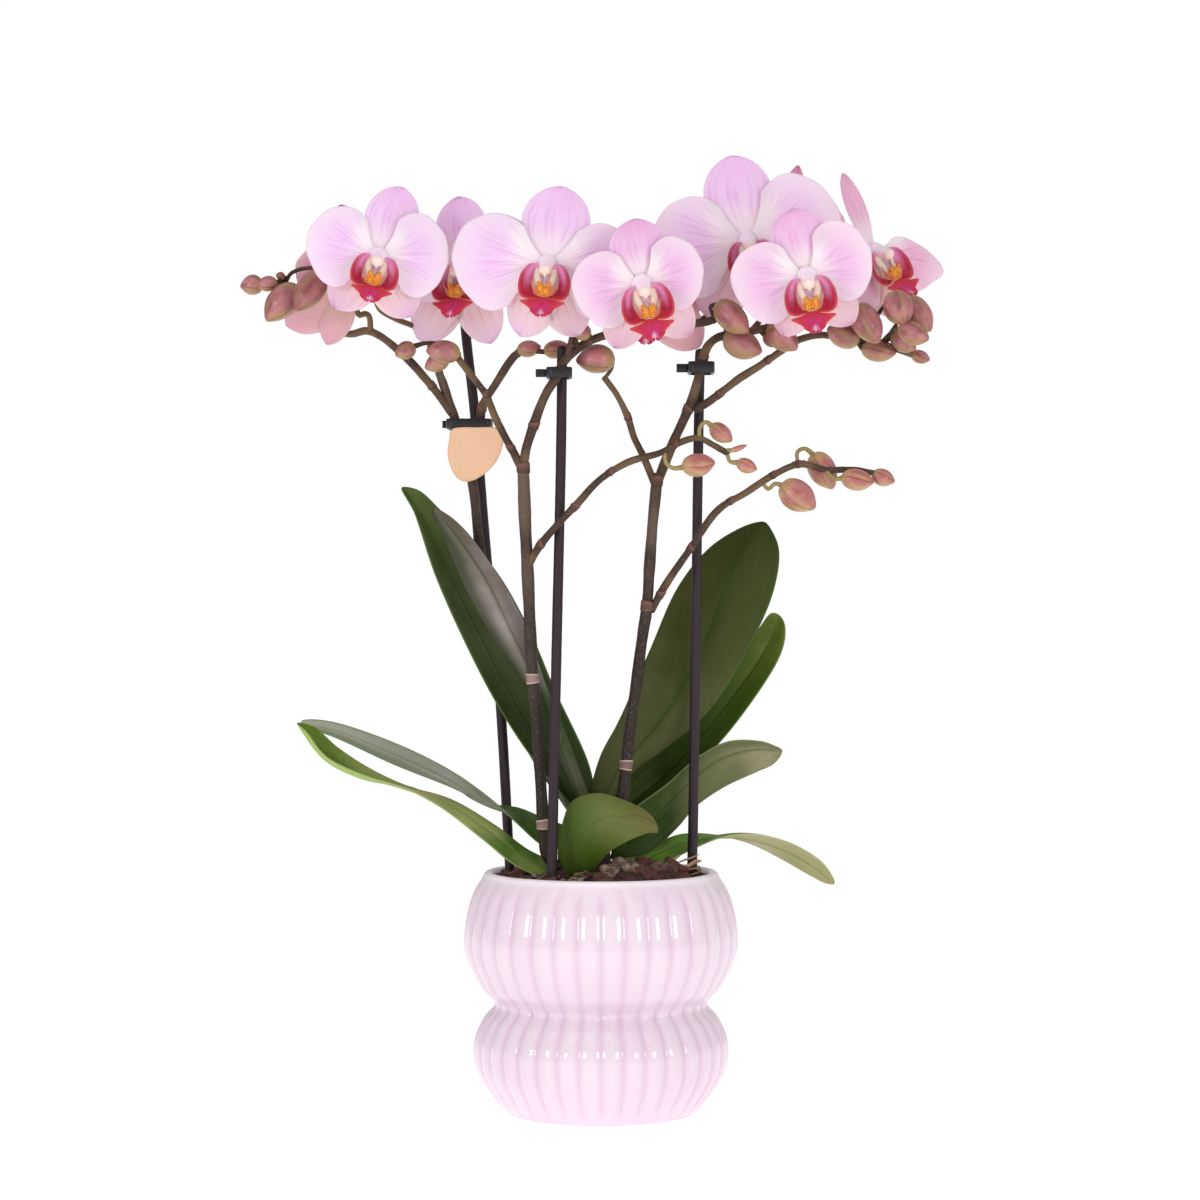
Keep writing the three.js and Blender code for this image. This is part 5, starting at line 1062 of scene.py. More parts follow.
def make_bud(form, width, route, seed):
    points = [place(*p) for p in route]
    base, tip = points[-2], points[-1]
    if len(points) > 2:
        knots = [[*p, STALK_RADIUS * (0.85 + 0.25 * k / len(points))] for k, p in enumerate(points[:-1])]
        knots[-1][3] = STALK_RADIUS * 1.3
        rod(form, through(knots, rings_for(knots) + 4), 10, (BUD_STALK, 0, seed))
    axis = tip - base
    length = np.linalg.norm(axis) * BUD_STRETCH
    axis = unit(axis)
    base = tip - axis * length * (1 - 0.4 * (BUD_STRETCH - 1) / BUD_STRETCH)
    flat = unit(np.cross(axis, [0.2, 1, 0.1]))
    other = np.cross(axis, flat)
    outline = through([[s, r, 0] for s, r in BUD_OUTLINE], 1 - (1 - np.linspace(0, 1, BUD_ROWS)) ** 1.1)
    turns = np.linspace(0, 2 * math.pi, BUD_SIDES, endpoint=False)
    # Each of the three sepals starts in a step over the one before it
    within = (turns / (2 * math.pi) * 3 + 0.13 * seed + 0.21) % 1
    step = 1 + 0.045 * (1 - within) ** 3 - 0.05 * np.exp(-((1 - within) / 0.05) ** 2) - 0.02 * (1 - within)
    points, marks = [], []
    for s, r, _ in outline:
        swirl = 0.35 * s
        profile = 1 + (step - 1) * math.sin(math.pi * min(max(s, 0.02), 0.98)) ** 0.4
        reach = width * BUD_SLIM * r * profile * (1 + 0.02 * np.cos(2 * turns + seed))
        centre = base + axis * (length * s) + flat * (0.06 * length * (s - 0.5) ** 2)
        angle = turns + swirl
        way = np.cos(angle)[:, None] * flat + np.sin(angle)[:, None] * other
        points.append(centre + reach[:, None] * way)
        marks.append(np.stack([within, np.full_like(turns, s), np.full_like(turns, seed)], -1))
    points, marks = np.array(points), np.array(marks)
    faces = grid_faces(BUD_ROWS, BUD_SIDES, closed=True)
    last = BUD_ROWS * BUD_SIDES - BUD_SIDES
    faces += [tuple(range(BUD_SIDES - 1, -1, -1)), tuple(range(last, last + BUD_SIDES))]
    form.add(points, marks.reshape(-1, 3), faces, 1)


def make_scale(form, centre, axis, radius, side):
    """The papery scale that clasps a node: a slanted collar, drawn out to a short point on one side."""
    axis = unit(axis)
    out = unit(side - axis * np.dot(side, axis))
    across = np.cross(axis, out)
    turns = np.linspace(0, 2 * math.pi, 25)
    peak = np.clip(np.cos(turns), 0, 1) ** 4
    if radius > BRANCH_RADIUS:  # on a thick stem the scale is a plain sleeve
        low, high = -1.9 - 0.25 * np.cos(turns), 2.1 + 0.35 * np.cos(turns)
        peak = np.zeros_like(turns)
    else:
        low, high = -1.3 - 0.5 * np.cos(turns), 0.5 + 0.5 * np.cos(turns) + 0.9 * peak
    rows = []
    for share in SCALE_ROWS:
        lift = low + (high - low) * share
        wide = radius * 1.05 + 0.06 * share + peak * 0.12 * share**2
        rows.append(centre + axis * lift[:, None] + (wide * np.cos(turns))[:, None] * out
                    + (wide * np.sin(turns))[:, None] * across)
    rows = np.array(rows)
    marks = np.zeros(rows.shape)
    marks[..., 0] = NODE_SCALE
    marks[..., 1] = np.array(SCALE_ROWS)[:, None]
    sheet(form, rows, marks, SCALE_THICKNESS)


# Brown tips that look out between the blooms: from and to in the front view, and their radius
STUBS = {
    "spike_right": [[[46, 347, -10], [43.6, 345.6, -14], 2.6], [[64, 341.4, -15], [61, 346, -18], 2.2]],
    "spike_left": [[[-71.5, 325, 13], [-69, 330, 10], 1.2]],
    "spike_centre": [[[-14.5, 330.9, -27], [-13, 340, -30], 1.7]],
}


def heading_at(lines, centre):
    """The direction of the nearest stem at a place, the nearest point on it and its radius there."""
    best = None
    for line in lines:
        gaps = np.linalg.norm(line[:, :3] - centre, axis=1)
        k = int(np.argmin(gaps))
        if best is None or gaps[k] < best[0]:
            ahead = line[min(k + 1, len(line) - 1), :3] - line[max(k - 1, 0), :3]
            best = (gaps[k], ahead, line[k, :3], line[k, 3])
    return best[1:]


def make_spike(name, skins):
    form = Form()
    lines = []
    for start, end, route in STEMS[name]:
        knots = [[*place(*p), start + (end - start) * k / (len(route) - 1)] for k, p in enumerate(route)]
        line = through(knots, rings_for(knots))
        line[:, 3] *= 1 + 0.05 * np.sin(np.arange(len(line)) * 0.55 + len(route))
        lines.append(line)
        rod(form, line, 14, (SIDE_BRANCH if start < BRANCH_RADIUS else MAIN_STEM, 0, 0), wobble=0.12)
    for k, (width, *route) in enumerate(BUDS[name]):
        make_bud(form, width, route, k + len(name))
    for k, node in enumerate(NODES[name]):
        ahead, centre, radius = heading_at(lines, place(*node))
        swelling = [[*(centre + unit(ahead) * s), radius * (0.98 + 0.1 * math.exp(-(s / 1.6) ** 2))]
                    for s in np.linspace(-3, 3, 9)]
        rod(form, swelling, 14, (SIDE_BRANCH if radius < BRANCH_RING else MAIN_STEM, 0, 0))
        side = np.array([(-1) ** k, -0.7, 0.15])
        make_scale(form, centre, ahead, radius * 1.05, side)
    for start, end, radius in STUBS[name]:
        a, b = place(*start), place(*end)
        line = [[*(a + (b - a) * s), radius * (1 - 0.45 * s)] for s in np.linspace(0, 1, 7)]
        rod(form, line, 12, (STUB, 0.15, 0))
    for bloom_name, bloom in BLOOMS.items():
        if bloom["spike"] == name:
            turn = facing(bloom_name)
            knots = [place(*p) for p in bloom["pedicel"]]
            knots += [np.array(turn @ Vector((0, BLOOM_BACK + away, 0))) for away in (4, GAP)]
            knots = [[*p, 1.3 - 0.1 * k / len(knots)] for k, p in enumerate(knots)]
            knots[-1][3] = 1.5
            rod(form, through(knots, rings_for(knots) + 4), 12, (PEDICEL, 0, 0))
    piece(name.replace("spike", "flower_stem"), form, skins, "stem", name)


# Blooms


def facing(name):
    """The matrix that turns a bloom and moves it to its heart."""
    bloom = BLOOMS[name]
    turn = (Matrix.Rotation(math.radians(bloom["turn"]), 4, "Z")
            @ Matrix.Rotation(-math.radians(bloom["tip"]), 4, "X")
            @ Matrix.Rotation(math.radians(bloom["roll"]), 4, "Y"))
    return Matrix.Translation(place(*bloom["heart"])) @ turn


def petal_skin(name, palette, strength, stripes=0.45):
    """Petals: near white at the heart, flushed from their middle outward, with veins that fan out and break
    up the start of the flush. The sepals are deeper, with lengthwise veins. The lower ones have a peachy,
    striped base."""
    f = Finish(name, subsurface_weight=0.5, subsurface_scale=0.0025, subsurface_radius=(1, 0.75, 0.9),
               specular_ior_level=0.2)
    across, along, kind = f.mark("X"), f.mark("Y"), f.mark("Z")
    pale, flush, vein, deep, edge, heart = (paint(*colour) for colour in palette)
    where = f.place()
    drift = f.grain(where, 0.07, 3)
    sparkle = f.grain(where, 3.2, 2)
    sway = drift - 0.5
    bend = across + sway * 0.12
    rays = f.grain(f.vector(bend * 7, kind * 5, drift * 0.4), 1.0, 3, 0.6)
    threads = f.grain(f.vector(bend * 15, along * 1.1, kind * 7), 1.0, 2, 0.55)
    fine = f.grain(f.vector(bend * 44, along * 3, kind * 3), 1.0, 2, 0.5)
    veins = threads.fade(0.52, 0.66) * 0.8 + fine.fade(0.54, 0.68) * 0.4
    sepal = kind.fade(0.2, 0.8)
    lower = kind.fade(1.2, 1.8)
    middle = across.size().fade(1.0, 0.25)
    start = along + (rays - 0.5) * 0.55 - across.size() * 0.12
    petal_flush = start.fade(0.2, 0.5) * (0.62 + 0.38 * middle) * along.fade(1.25, 0.6)
    sepal_flush = (along + (rays - 0.5) * 0.3).fade(0.12, 0.6)
    tone = petal_flush * (1 - sepal) + sepal_flush * (sepal - lower * 0.35)
    colour = f.mix((along + sway * 0.3).fade(0.7, 1.05) * 0.5, pale, edge)
    colour = f.mix(tone, colour, flush)
    colour = f.mix(sepal * (along + sway * 0.4).fade(0.55, 1.1) * 0.6, colour, deep)
    bloom_veins = start.fade(0.16, 0.3) * along.fade(0.95, 0.45) * middle * (1 - sepal)
    sepal_veins = along.fade(0.1, 0.4) * along.fade(1.1, 0.7) * sepal
    colour = f.mix(veins * (bloom_veins + sepal_veins * 0.8) * strength, colour, vein)
    colour = f.mix(lower * (along + sway * 0.5).fade(1.35, 0.5) * 0.85, colour, heart)
    striped = lower * threads.fade(0.54, 0.6) * along.fade(1.0, 0.5)
    colour = f.mix(striped * stripes, colour, paint(202, 112, 136))
    relief = threads * 0.5 + fine * 0.25 + drift * 0.8 + sparkle * 0.08
    return f.wear(colour, 0.52 + sparkle * 0.16, relief, 0.3)


# Pale ground, flush, veins, deep tip, margin, and the base of a lower sepal
PETAL_TONES = {
    "lilac": [(248, 231, 240), (237, 198, 236), (208, 138, 206), (226, 164, 218), (242, 206, 228),
              (238, 202, 202)],
    "rosy": [(247, 229, 237), (232, 188, 222), (204, 130, 188), (206, 138, 184), (240, 204, 220),
             (238, 200, 196)],
    "dusty": [(240, 220, 228), (226, 176, 200), (190, 112, 150), (206, 146, 174), (234, 198, 216),
              (224, 188, 172)],
}
PETAL_BACK = [(238, 212, 210), (208, 132, 162), (190, 104, 142), (212, 144, 172), (232, 198, 202),
              (226, 180, 176)]


def column_skin():
    """The waxy column, pink at its sides and near white, with a peach cap over the pollen."""
    f = Finish("column_wax", subsurface_weight=0.15, subsurface_scale=0.001)
    along = f.mark("Y")
    cloud = f.grain(f.place(), 0.6, 3)
    colour = f.mix(cloud, paint(250, 236, 246), paint(244, 218, 234))
    colour = f.mix(along.fade(0.45, 0.05) * 0.4, colour, paint(234, 184, 214))
    colour = f.mix(along.fade(0.78, 0.9), colour, f.mix(cloud, paint(250, 226, 218), paint(246, 208, 196)))
    return f.wear(colour, 0.34 + cloud * 0.12, cloud, 0.1)


# The marks and materials of a bloom's parts
PETAL, UPPER_SEPAL, LOWER_SEPAL = 0.0, 1.0, 2.0
FRONT, BACK, COLUMN_WAX = range(3)

TEPAL_ROOT = 2
SEPAL_FOOT = 2.8
PETAL_ROOT = 3.2
CLAW = 1
USUAL_RISE = 0.4
# How far a petal reaches, from its lower edge to its upper one, with a low and with a high upper shoulder.
# A rise below 0 makes the narrow one
LOW_PETAL = [0.74, 0.85, 0.93, 1, 0.96, 0.8, 0.58]
HIGH_PETAL = [0.74, 0.86, 0.94, 1, 0.98, 0.92, 0.74]
NARROW_PETAL = [0.61, 0.7, 0.83, 1, 0.78, 0.56, 0.41]
SHOULDER = 6
SEPAL_FORM = [[0.14, 0.5], [0.32, 0.82], [0.55, 1], [0.77, 0.85], [0.92, 0.52]]
PETAL_ROWS = 34
PETAL_COLS = 45
SEPAL_ROWS = 36
SEPAL_COLS = 17
PETAL_THICKNESS = 0.75


def laid(angle, lean, across, along, back):
    """Points of a tepal, leaned to the back and turned round the heart."""
    turn, tilt = math.radians(angle), math.radians(lean)
    out = along * math.cos(tilt) - back * math.sin(tilt)
    behind = along * math.sin(tilt) + back * math.cos(tilt)
    return np.stack([across * math.cos(turn) + out * math.sin(turn), behind,
                     out * math.cos(turn) - across * math.sin(turn)], -1)


def margin_thin(across, along):
    """Thickness of a tepal: fleshy at the root, thin at the margin."""
    return PETAL_THICKNESS * (1 - 0.5 * np.abs(across) ** 4) * (1.3 - 0.75 * along)


def make_petal(form, angle, reach, spread, lean, rise, seed):
    along = np.linspace(0, 1, PETAL_ROWS)[:, None] ** 0.9
    side = np.sin(np.linspace(-1, 1, PETAL_COLS) * math.pi / 2)[None, :]
    upper = -side if angle > 0 else side
    shape = NARROW_PETAL
    if rise >= 0:
        shape = [low + (high - low) * rise for low, high in zip(LOW_PETAL, HIGH_PETAL)]
    steps = through([[k, value, 0] for k, value in enumerate(shape)], 121)
    far = np.interp((upper + 1) / 2 * (len(shape) - 1), steps[:, 0], steps[:, 1])
    far = far * (1 - 0.22 * np.abs(side) ** 12)
    outline = 1 + 0.008 * np.sin(side * 7 + seed) + 0.005 * np.sin(side * 17 + seed * 2)
    length = PETAL_ROOT + (far * outline * reach - PETAL_ROOT) * along
    share = length / reach
    # The upper shoulder is broad and lies over the foot of the upper sepal
    fan = np.radians(spread + SHOULDER * max(rise, 0) * np.maximum(upper, 0)) * side
    fan = fan * (0.6 + 0.4 * along**0.6)
    wide = length * np.sin(fan) + side * CLAW * (1 - along)
    out = length * np.cos(fan)
    back = -1.4 + 1.7 * along**2 * side**2
    back = back + 0.6 * along**2 * np.sin(side * 5 + seed) * (0.3 + 0.7 * np.abs(side))
    back = back - 0.5 * np.exp(-(side / 0.16) ** 2) * np.sin(np.pi * along) + 1.1 * along**4 * (1 - side**2)
    marks = np.stack(np.broadcast_arrays(side, share, PETAL), -1)
    sheet(form, laid(angle, lean, wide, out, back), marks, margin_thin(side, along), FRONT, BACK)


def make_sepal(form, angle, length, half_width, lean, kind, seed):
    knots = [[SEPAL_FOOT, TEPAL_ROOT, 0]] + [[w * half_width, s * length, 0] for s, w in SEPAL_FORM]
    knots += [[0, length, 0]] + [[-w * half_width, s * length, 0] for s, w in SEPAL_FORM[:-3:-1]]
    spans = len(knots) - 1
    edge = through(knots, (1 - (1 - np.linspace(0, 1, SEPAL_ROWS)) ** 1.3) * (len(SEPAL_FORM) + 1) / spans)
    half, out = np.maximum(edge[:, 0], 0.35)[:, None], edge[:, 1][:, None]
    side = np.sin(np.linspace(-1, 1, SEPAL_COLS) * math.pi / 2)[None, :]
    share = out / length
    curl = 0.3 + 2 * share**2 - 0.7 * share**6 + 0.8 * (1 - side**2) * np.minimum(1, share * 2)
    curl = curl + 0.4 * share * np.sin(side * 4 + seed) - 0.35 * np.exp(-(side / 0.14) ** 2) * share
    marks = np.stack(np.broadcast_arrays(side, share, kind), -1)
    sheet(form, laid(angle, lean, half * side, out, curl), marks, margin_thin(side, share), FRONT, BACK)


# The column, from its foot to its cap: a place from the heart and a radius
COLUMN = [[0, 3, 0, 1.8], [0, 0.6, 0, 3.8], [0, -1.6, -0.2, 4.3], [0, -3.6, -0.9, 3.5], [0, -6.4, -1.9, 3.0],
          [0, -8.2, -2.6, 2.8], [0, -9.4, -3.2, 2.3]]


def make_bloom(name, skins):
    bloom = BLOOMS[name]
    form = Form()
    seed = int(name.split("_")[1])
    for which, (angle, length, width, lean) in USUAL_TEPALS.items():
        petal = which in ("right", "left")
        length, width = length * bloom["size"], width * (1 if petal else bloom["size"])
        angle, length, width, lean, *rise = bloom["tepals"].get(which, [angle, length, width, lean])
        if petal:
            make_petal(form, angle, length, width, lean, rise[0] if rise else USUAL_RISE, seed + angle)
        else:
            kind = UPPER_SEPAL if which == "dorsal" else LOWER_SEPAL
            make_sepal(form, angle, length, width, lean, kind, seed + angle)
    rod(form, through(COLUMN, 26), 18, (0, 0.6, 0), COLUMN_WAX)
    cap = [[0, -8.8 - 1.4 * s, -2.9 - 1.9 * s, 2.8 * math.sqrt(max(1 - s * s, 0.02))]
           for s in np.linspace(-0.98, 0.98, 14)]
    rod(form, cap, 18, (0, 1.0, 0), COLUMN_WAX)
    beak = through([[0, -9.4, -4.2, 1.1], [0, -9.9, -5.2, 0.6], [0, -9.9, -5.9, 0.2]], 8)
    rod(form, beak, 10, (0, 0.95, 0), COLUMN_WAX)
    form.moved(facing(name))
    piece(name.replace("bloom", "open_bloom"), form, skins, "petal", name)


# Lips


def lobe_skin():
    """The side lobes: magenta above, crimson below, a thin orange-red margin and a striped cream edge."""
    f = Finish("lip_lobe", subsurface_weight=0.08, subsurface_scale=0.0008, specular_ior_level=0.35)
    across, along = f.mark("X"), f.mark("Y")
    where = f.place()
    cloud = f.grain(where, 0.25, 3)
    drift = (cloud - 0.5) * 0.25
    stripes = f.grain(f.vector(across * 1.6, along * 22 + across * 5, cloud), 1.0, 2)
    low = f.mix(cloud, paint(208, 52, 56), paint(196, 40, 52))
    deep = f.mix(cloud, paint(194, 30, 72), paint(178, 22, 60))
    bright = f.mix(cloud, paint(216, 110, 166), paint(228, 140, 190))
    colour = f.mix((along + drift).fade(0.08, 0.28), low, deep)
    colour = f.mix((along + drift + (0.5 - across) * 0.25).fade(0.42, 0.86), colour, bright)
    sheen = (across + drift).fade(0.3, 0.55) * (across + drift).fade(0.9, 0.65)
    colour = f.mix(sheen * (along + drift).fade(0.3, 0.75) * 0.55, colour, paint(240, 176, 224))
    inner = (across + drift * 0.6).fade(0.26, 0.12) * along.fade(0.2, 0.4)
    colour = f.mix(inner, colour, paint(234, 214, 196))
    marks = stripes.fade(0.52, 0.6) * across.fade(0.48, 0.1) * along.fade(0.5, 0.25)
    colour = f.mix(marks * 0.85, colour, paint(244, 196, 160))
    outer = (across + drift * 0.2).fade(0.84, 1.0) * along.fade(0.95, 0.3)
    colour = f.mix(outer * 0.4, colour, paint(206, 96, 74))
    colour = f.mix(along.fade(0.84, 1.0) * 0.7, colour, paint(236, 176, 204))
    return f.wear(colour, 0.36 + cloud * 0.12, cloud + stripes * 0.2, 0.2)


def midlobe_skin():
    """The middle lobe: crimson with a magenta heart, orange-red corners, a dark centre line and pale tips."""
    f = Finish("lip_middle", subsurface_weight=0.08, subsurface_scale=0.0008, specular_ior_level=0.35)
    across, along = f.mark("X"), f.mark("Y")
    where = f.place()
    cloud = f.grain(where, 0.3, 3)
    rays = f.grain(f.vector(across * 8, along * 0.8, 0.3), 1.0, 2)
    drift = (cloud - 0.5) * 0.3
    colour = f.mix(cloud, paint(202, 36, 72), paint(188, 28, 60))
    heart = (across.size() + drift).fade(0.7, 0.2) * (along + drift).fade(0.15, 0.6)
    colour = f.mix(heart, colour, f.mix(rays, paint(190, 22, 92), paint(208, 44, 120)))
    corners = (across.size() + drift * 0.5).fade(0.6, 1.0) * along.fade(0.75, 0.3)
    colour = f.mix(corners * 0.6, colour, paint(216, 92, 70))
    keel = across.size().fade(0.05, 0.0) * along.fade(0.75, 0.4)
    colour = f.mix(keel * 0.6, colour, paint(146, 16, 50))
    tips = (along + drift - across.size() * 0.5).fade(0.52, 0.82) * rays.fade(0.25, 0.55)
    colour = f.mix(tips * 0.85, colour, paint(246, 204, 226))
    return f.wear(colour, 0.34 + cloud * 0.12, cloud + rays * 0.3, 0.25)


def callus_skin():
    """The callus: orange with red dots, and salmon bristles. The claw and the throat behind it are a pale
    pink, painted lighter than the throat's own dusky pink as painted light in the shade of the cup, and the
    throat is streaked."""
    f = Finish("lip_callus", specular_ior_level=0.4)
    across, along, throat = f.mark("X"), f.mark("Y"), f.mark("Z")
    where = f.place()
    knobs = f.grain(where, 0.9, 3, 0.6)
    streaks = f.grain(f.vector(across * 5, knobs * 0.6, throat), 1.0, 2)
    dots = f.grain(where, 1.9, 1).fade(0.54, 0.62)
    orange = f.mix(knobs.fade(0.3, 0.7), paint(232, 128, 32), paint(246, 176, 60))
    colour = f.mix(dots * 0.65, orange, paint(196, 74, 34))
    colour = f.mix(along.fade(0.8, 0.7), colour, f.mix(knobs, paint(222, 118, 104), paint(232, 150, 122)))
    # Painted light: this near white pink is lighter than the throat's own dusky pink, to lift the shade in
    # the cup
    painted_light_blush = f.mix(knobs, paint(255, 238, 242), paint(252, 220, 234))
    painted_light_blush = f.mix(throat * streaks.fade(0.5, 0.62) * 0.6, painted_light_blush, paint(222, 132, 180))
    colour = f.mix(along.fade(0.5, 0.15), colour, painted_light_blush)
    return f.wear(colour, 0.38 + dots * 0.1, knobs + dots * 0.4, 0.5)


# The two edges of a side lobe, from its root up, as places from the heart
LOBE_INNER = [[1.4, -8.6, -15.2], [2.6, -7.2, -14], [4, -5, -11.4], [4.5, -4, -8.6], [4.4, -4, -5.6],
              [4, -4.8, -2.8], [3.2, -5.6, -1.2]]
LOBE_OUTER = [[3.4, -10, -15.8], [7.4, -10.4, -16.2], [10.2, -10.3, -14.8], [11.4, -9.6, -11],
              [10.6, -8.7, -5.4], [7.8, -7.6, -1.2], [4.4, -6.6, 0.2]]
# The middle lobe, row by row from its root to its tip: height and depth at its keel, half width, and how far
# its corners hang down and stand back
MIDDLE_LOBE = [
    [-15.4, -10.8, 2.2, 0.3, 0.3], [-16.4, -11.6, 3.6, 0.0, 0.2], [-17.4, -12.4, 6.6, -0.4, 0.0],
    [-18.5, -13.3, 10.0, -0.9, -0.3], [-19.7, -14.3, 7.6, -0.4, 0.0], [-20.8, -15.2, 5.3, 0.1, 0.4],
    [-21.9, -16.0, 4.7, 0.3, 0.6], [-23.0, -16.8, 3.3, 0.2, 0.4], [-23.8, -17.3, 1.8, 0.0, 0.3],
]
CLAW_LINE = [[0, -3.3, -4.9, 1], [0, -4.8, -9, 1.3], [0, -7.4, -12, 2.2], [0, -8.6, -13.6, 1.6]]
# The pale flap inside a side lobe, from its point up, with half its width
FLAP_LINE = [[2.5, -9.3, -12.2, 0.15], [2.7, -9, -11, 0.6], [3.2, -8.2, -8.6, 1.4], [3.7, -7, -5.6, 1.5],
             [3.6, -5.8, -2.4, 1.1]]
LOBE_ROWS = 34
LOBE_COLS = 13
LIP_THICKNESS = 0.7
USUAL_LIP = 0.95  # size of a lip against its outline above
MIDDLE_ROWS = 34
MIDDLE_COLS = 25
THROAT_THICKNESS = 0.6
FLAP_THICKNESS = 0.45
# The materials of a lip, in the order that its piece holds them
LOBE, MIDDLE, CALLUS = range(3)


def make_lobe(form, side):
    inner = through(LOBE_INNER, LOBE_ROWS)
    outer = through(LOBE_OUTER, LOBE_ROWS)
    along = np.linspace(0, 1, LOBE_ROWS)
    across = np.linspace(0, 1, LOBE_COLS)
    tip = (inner[-1] + outer[-1]) / 2
    close = np.sqrt(np.clip((1 - along) / 0.1, 0.01, 1))[:, None]
    close = np.where(along[:, None] > 0.9, close, 1)
    inner, outer = tip + (inner - tip) * close, tip + (outer - tip) * close
    grid = inner[:, None] + (outer - inner)[:, None] * across[None, :, None]
    # The plate is dished: its middle stands back and its outer edge curls forward
    bow = np.sin(math.pi * np.clip(along * 0.92 + 0.04, 0, 1))
    dish = np.sin(math.pi * across)[None, :] * bow[:, None] * 1.5
    curl = (across**4)[None, :] * np.sin(math.pi * along)[:, None] * 0.8
    grid[..., 1] += dish - curl
    marks = np.stack(np.broadcast_arrays(across[None, :], along[:, None], 0.0), -1)
    if side < 0:
        grid = grid[:, ::-1] * [-1, 1, 1]
        marks = marks[:, ::-1]
    sheet(form, grid, marks, LIP_THICKNESS, LOBE, LOBE)


def make_middle_lobe(form):
    line = through(MIDDLE_LOBE, MIDDLE_ROWS)
    side = np.sin(np.linspace(-1, 1, MIDDLE_COLS) * math.pi / 2)[None, :]
    along = np.linspace(0, 1, MIDDLE_ROWS)[:, None]
    height, depth, half, droop, back = (line[:, k][:, None] for k in range(5))
    # A crease runs down its middle, and its end is notched
    depth = depth + back * side**2 + 0.5 * np.exp(-(side / 0.2) ** 2) * np.sin(np.pi * along)
    height = height - droop * np.abs(side) ** 1.5 + 0.5 * np.cos(side * 9) * (along > 0.93) * side**2
    grid = np.stack([half * side, depth, height], -1)
    grid[..., 1] -= 0.5 * np.sin(np.pi * along) * np.cos(np.pi * side / 2)
    marks = np.stack(np.broadcast_arrays(side, along, 0.0), -1)
    sheet(form, grid[::-1], marks[::-1], LIP_THICKNESS, MIDDLE, MIDDLE)


def make_throat(form):
    """The back of the cup between the side lobes, from the callus up to the foot of the column."""
    side = np.linspace(-1, 1, 15)[None, :]
    rise = np.linspace(0, 1, 16)[:, None]
    half = 2.5 - 0.7 * (1 - rise) ** 2
    depth = -4.2 - 1.6 * side**2 - 4.2 * (1 - rise) ** 2
    grid = np.stack(np.broadcast_arrays(half * side, depth, -14.8 + 12.2 * rise), -1)
    marks = np.stack(np.broadcast_arrays(side, 0.0, 1.0), -1)
    sheet(form, grid, marks, THROAT_THICKNESS, CALLUS, CALLUS)


def make_flap(form, side):
    line = through(FLAP_LINE, 24)
    across = np.linspace(-1, 1, 9)[None, :]
    x, depth, height, half = (line[:, k][:, None] for k in range(4))
    depth = depth + 0.5 * half * across**2 + 0.3 * side * half * across
    grid = np.stack(np.broadcast_arrays(side * x + half * across, depth, height), -1)
    sheet(form, grid, (0.02, 0.6, 0), FLAP_THICKNESS, LOBE, LOBE)


def make_lip(name, skins):
    form = Form()
    make_throat(form)
    for side in (1, -1):
        make_lobe(form, side)
        make_flap(form, side)
    make_middle_lobe(form)
    rod(form, through(CLAW_LINE, 22), 12, (0, 0, 0), CALLUS)
    # The callus: two fleshy humps side by side with a tooth on each, and bristles between them and the lobes
    for side in (1, -1):
        hump = [[side * (1.4 + 0.25 * s), -10 - 0.9 * s, -12.2 + 2.4 * s, 1.95 * (1 - 0.35 * s**4)]
                for s in np.linspace(-1, 1, 14)]
        rod(form, hump, 14, (0, 0.9, 0), CALLUS, wobble=0.5)
        tooth = through([[side * 2.0, -10.8, -10.0, 1.1], [side * 2.5, -11.2, -9.0, 0.8],
                         [side * 2.8, -11.4, -8.4, 0.3]], 9)
        rod(form, tooth, 8, (0, 0.9, 0), CALLUS)
        for k in range(4):
            bristle = through([[side * (2.4 + 0.2 * k), -10.4, -14.6 + 0.8 * k, 0.32],
                               [side * (4.2 + 0.4 * k), -9.9, -13.6 + 1.2 * k, 0.26],
                               [side * (4.9 + 0.4 * k), -9.4, -11.8 + 1.5 * k, 0.12]], 9)
            rod(form, bristle, 6, (0, 0.62, 0), CALLUS)
        # The tendril at the tip curls forward and back up
        tendril = through([[side * 0.5, -17.1, -23.3, 0.5], [side * 1.0, -18.1, -24.1, 0.42],
                           [side * 1.8, -18.9, -23.2, 0.36], [side * 2.2, -18.4, -21.6, 0.3],
                           [side * 1.8, -17.5, -20.8, 0.2]], 22)
        rod(form, tendril, 7, (0.3, 0.4, 0), MIDDLE)
    bloom = name.replace("lip", "bloom")
    form.moved(facing(bloom) @ Matrix.Scale(BLOOMS[bloom].get("lip", USUAL_LIP), 4))
    piece(name.replace("lip", "bloom_lip"), form, skins, "lip", name)


# Sticks, clips and the tag


def stick_skin():
    """Dark coated sticks, faintly streaked along their length."""
    f = Finish("coated_stick", specular_ior_level=0.3)
    where = f.place()
    streak = f.grain(where * (1.6, 1.6, 0.05), 1.0, 3)
    dust = f.grain(where, 1.8, 3)
    colour = f.mix(streak, paint(36, 24, 30), paint(52, 37, 44))
    colour = f.mix(dust.fade(0.6, 0.75) * 0.25, colour, paint(96, 86, 88))
    return f.wear(colour, 0.42 + streak * 0.18, streak, 0.1)


def clip_skin():
    """Moulded slate-grey plastic."""
    f = Finish("clip_plastic", specular_ior_level=0.35)
    matt = f.grain(f.place(), 1.6, 3)
    return f.wear(f.mix(matt, paint(30, 28, 33), paint(42, 40, 46)), 0.26 + matt * 0.14, matt, 0.05)


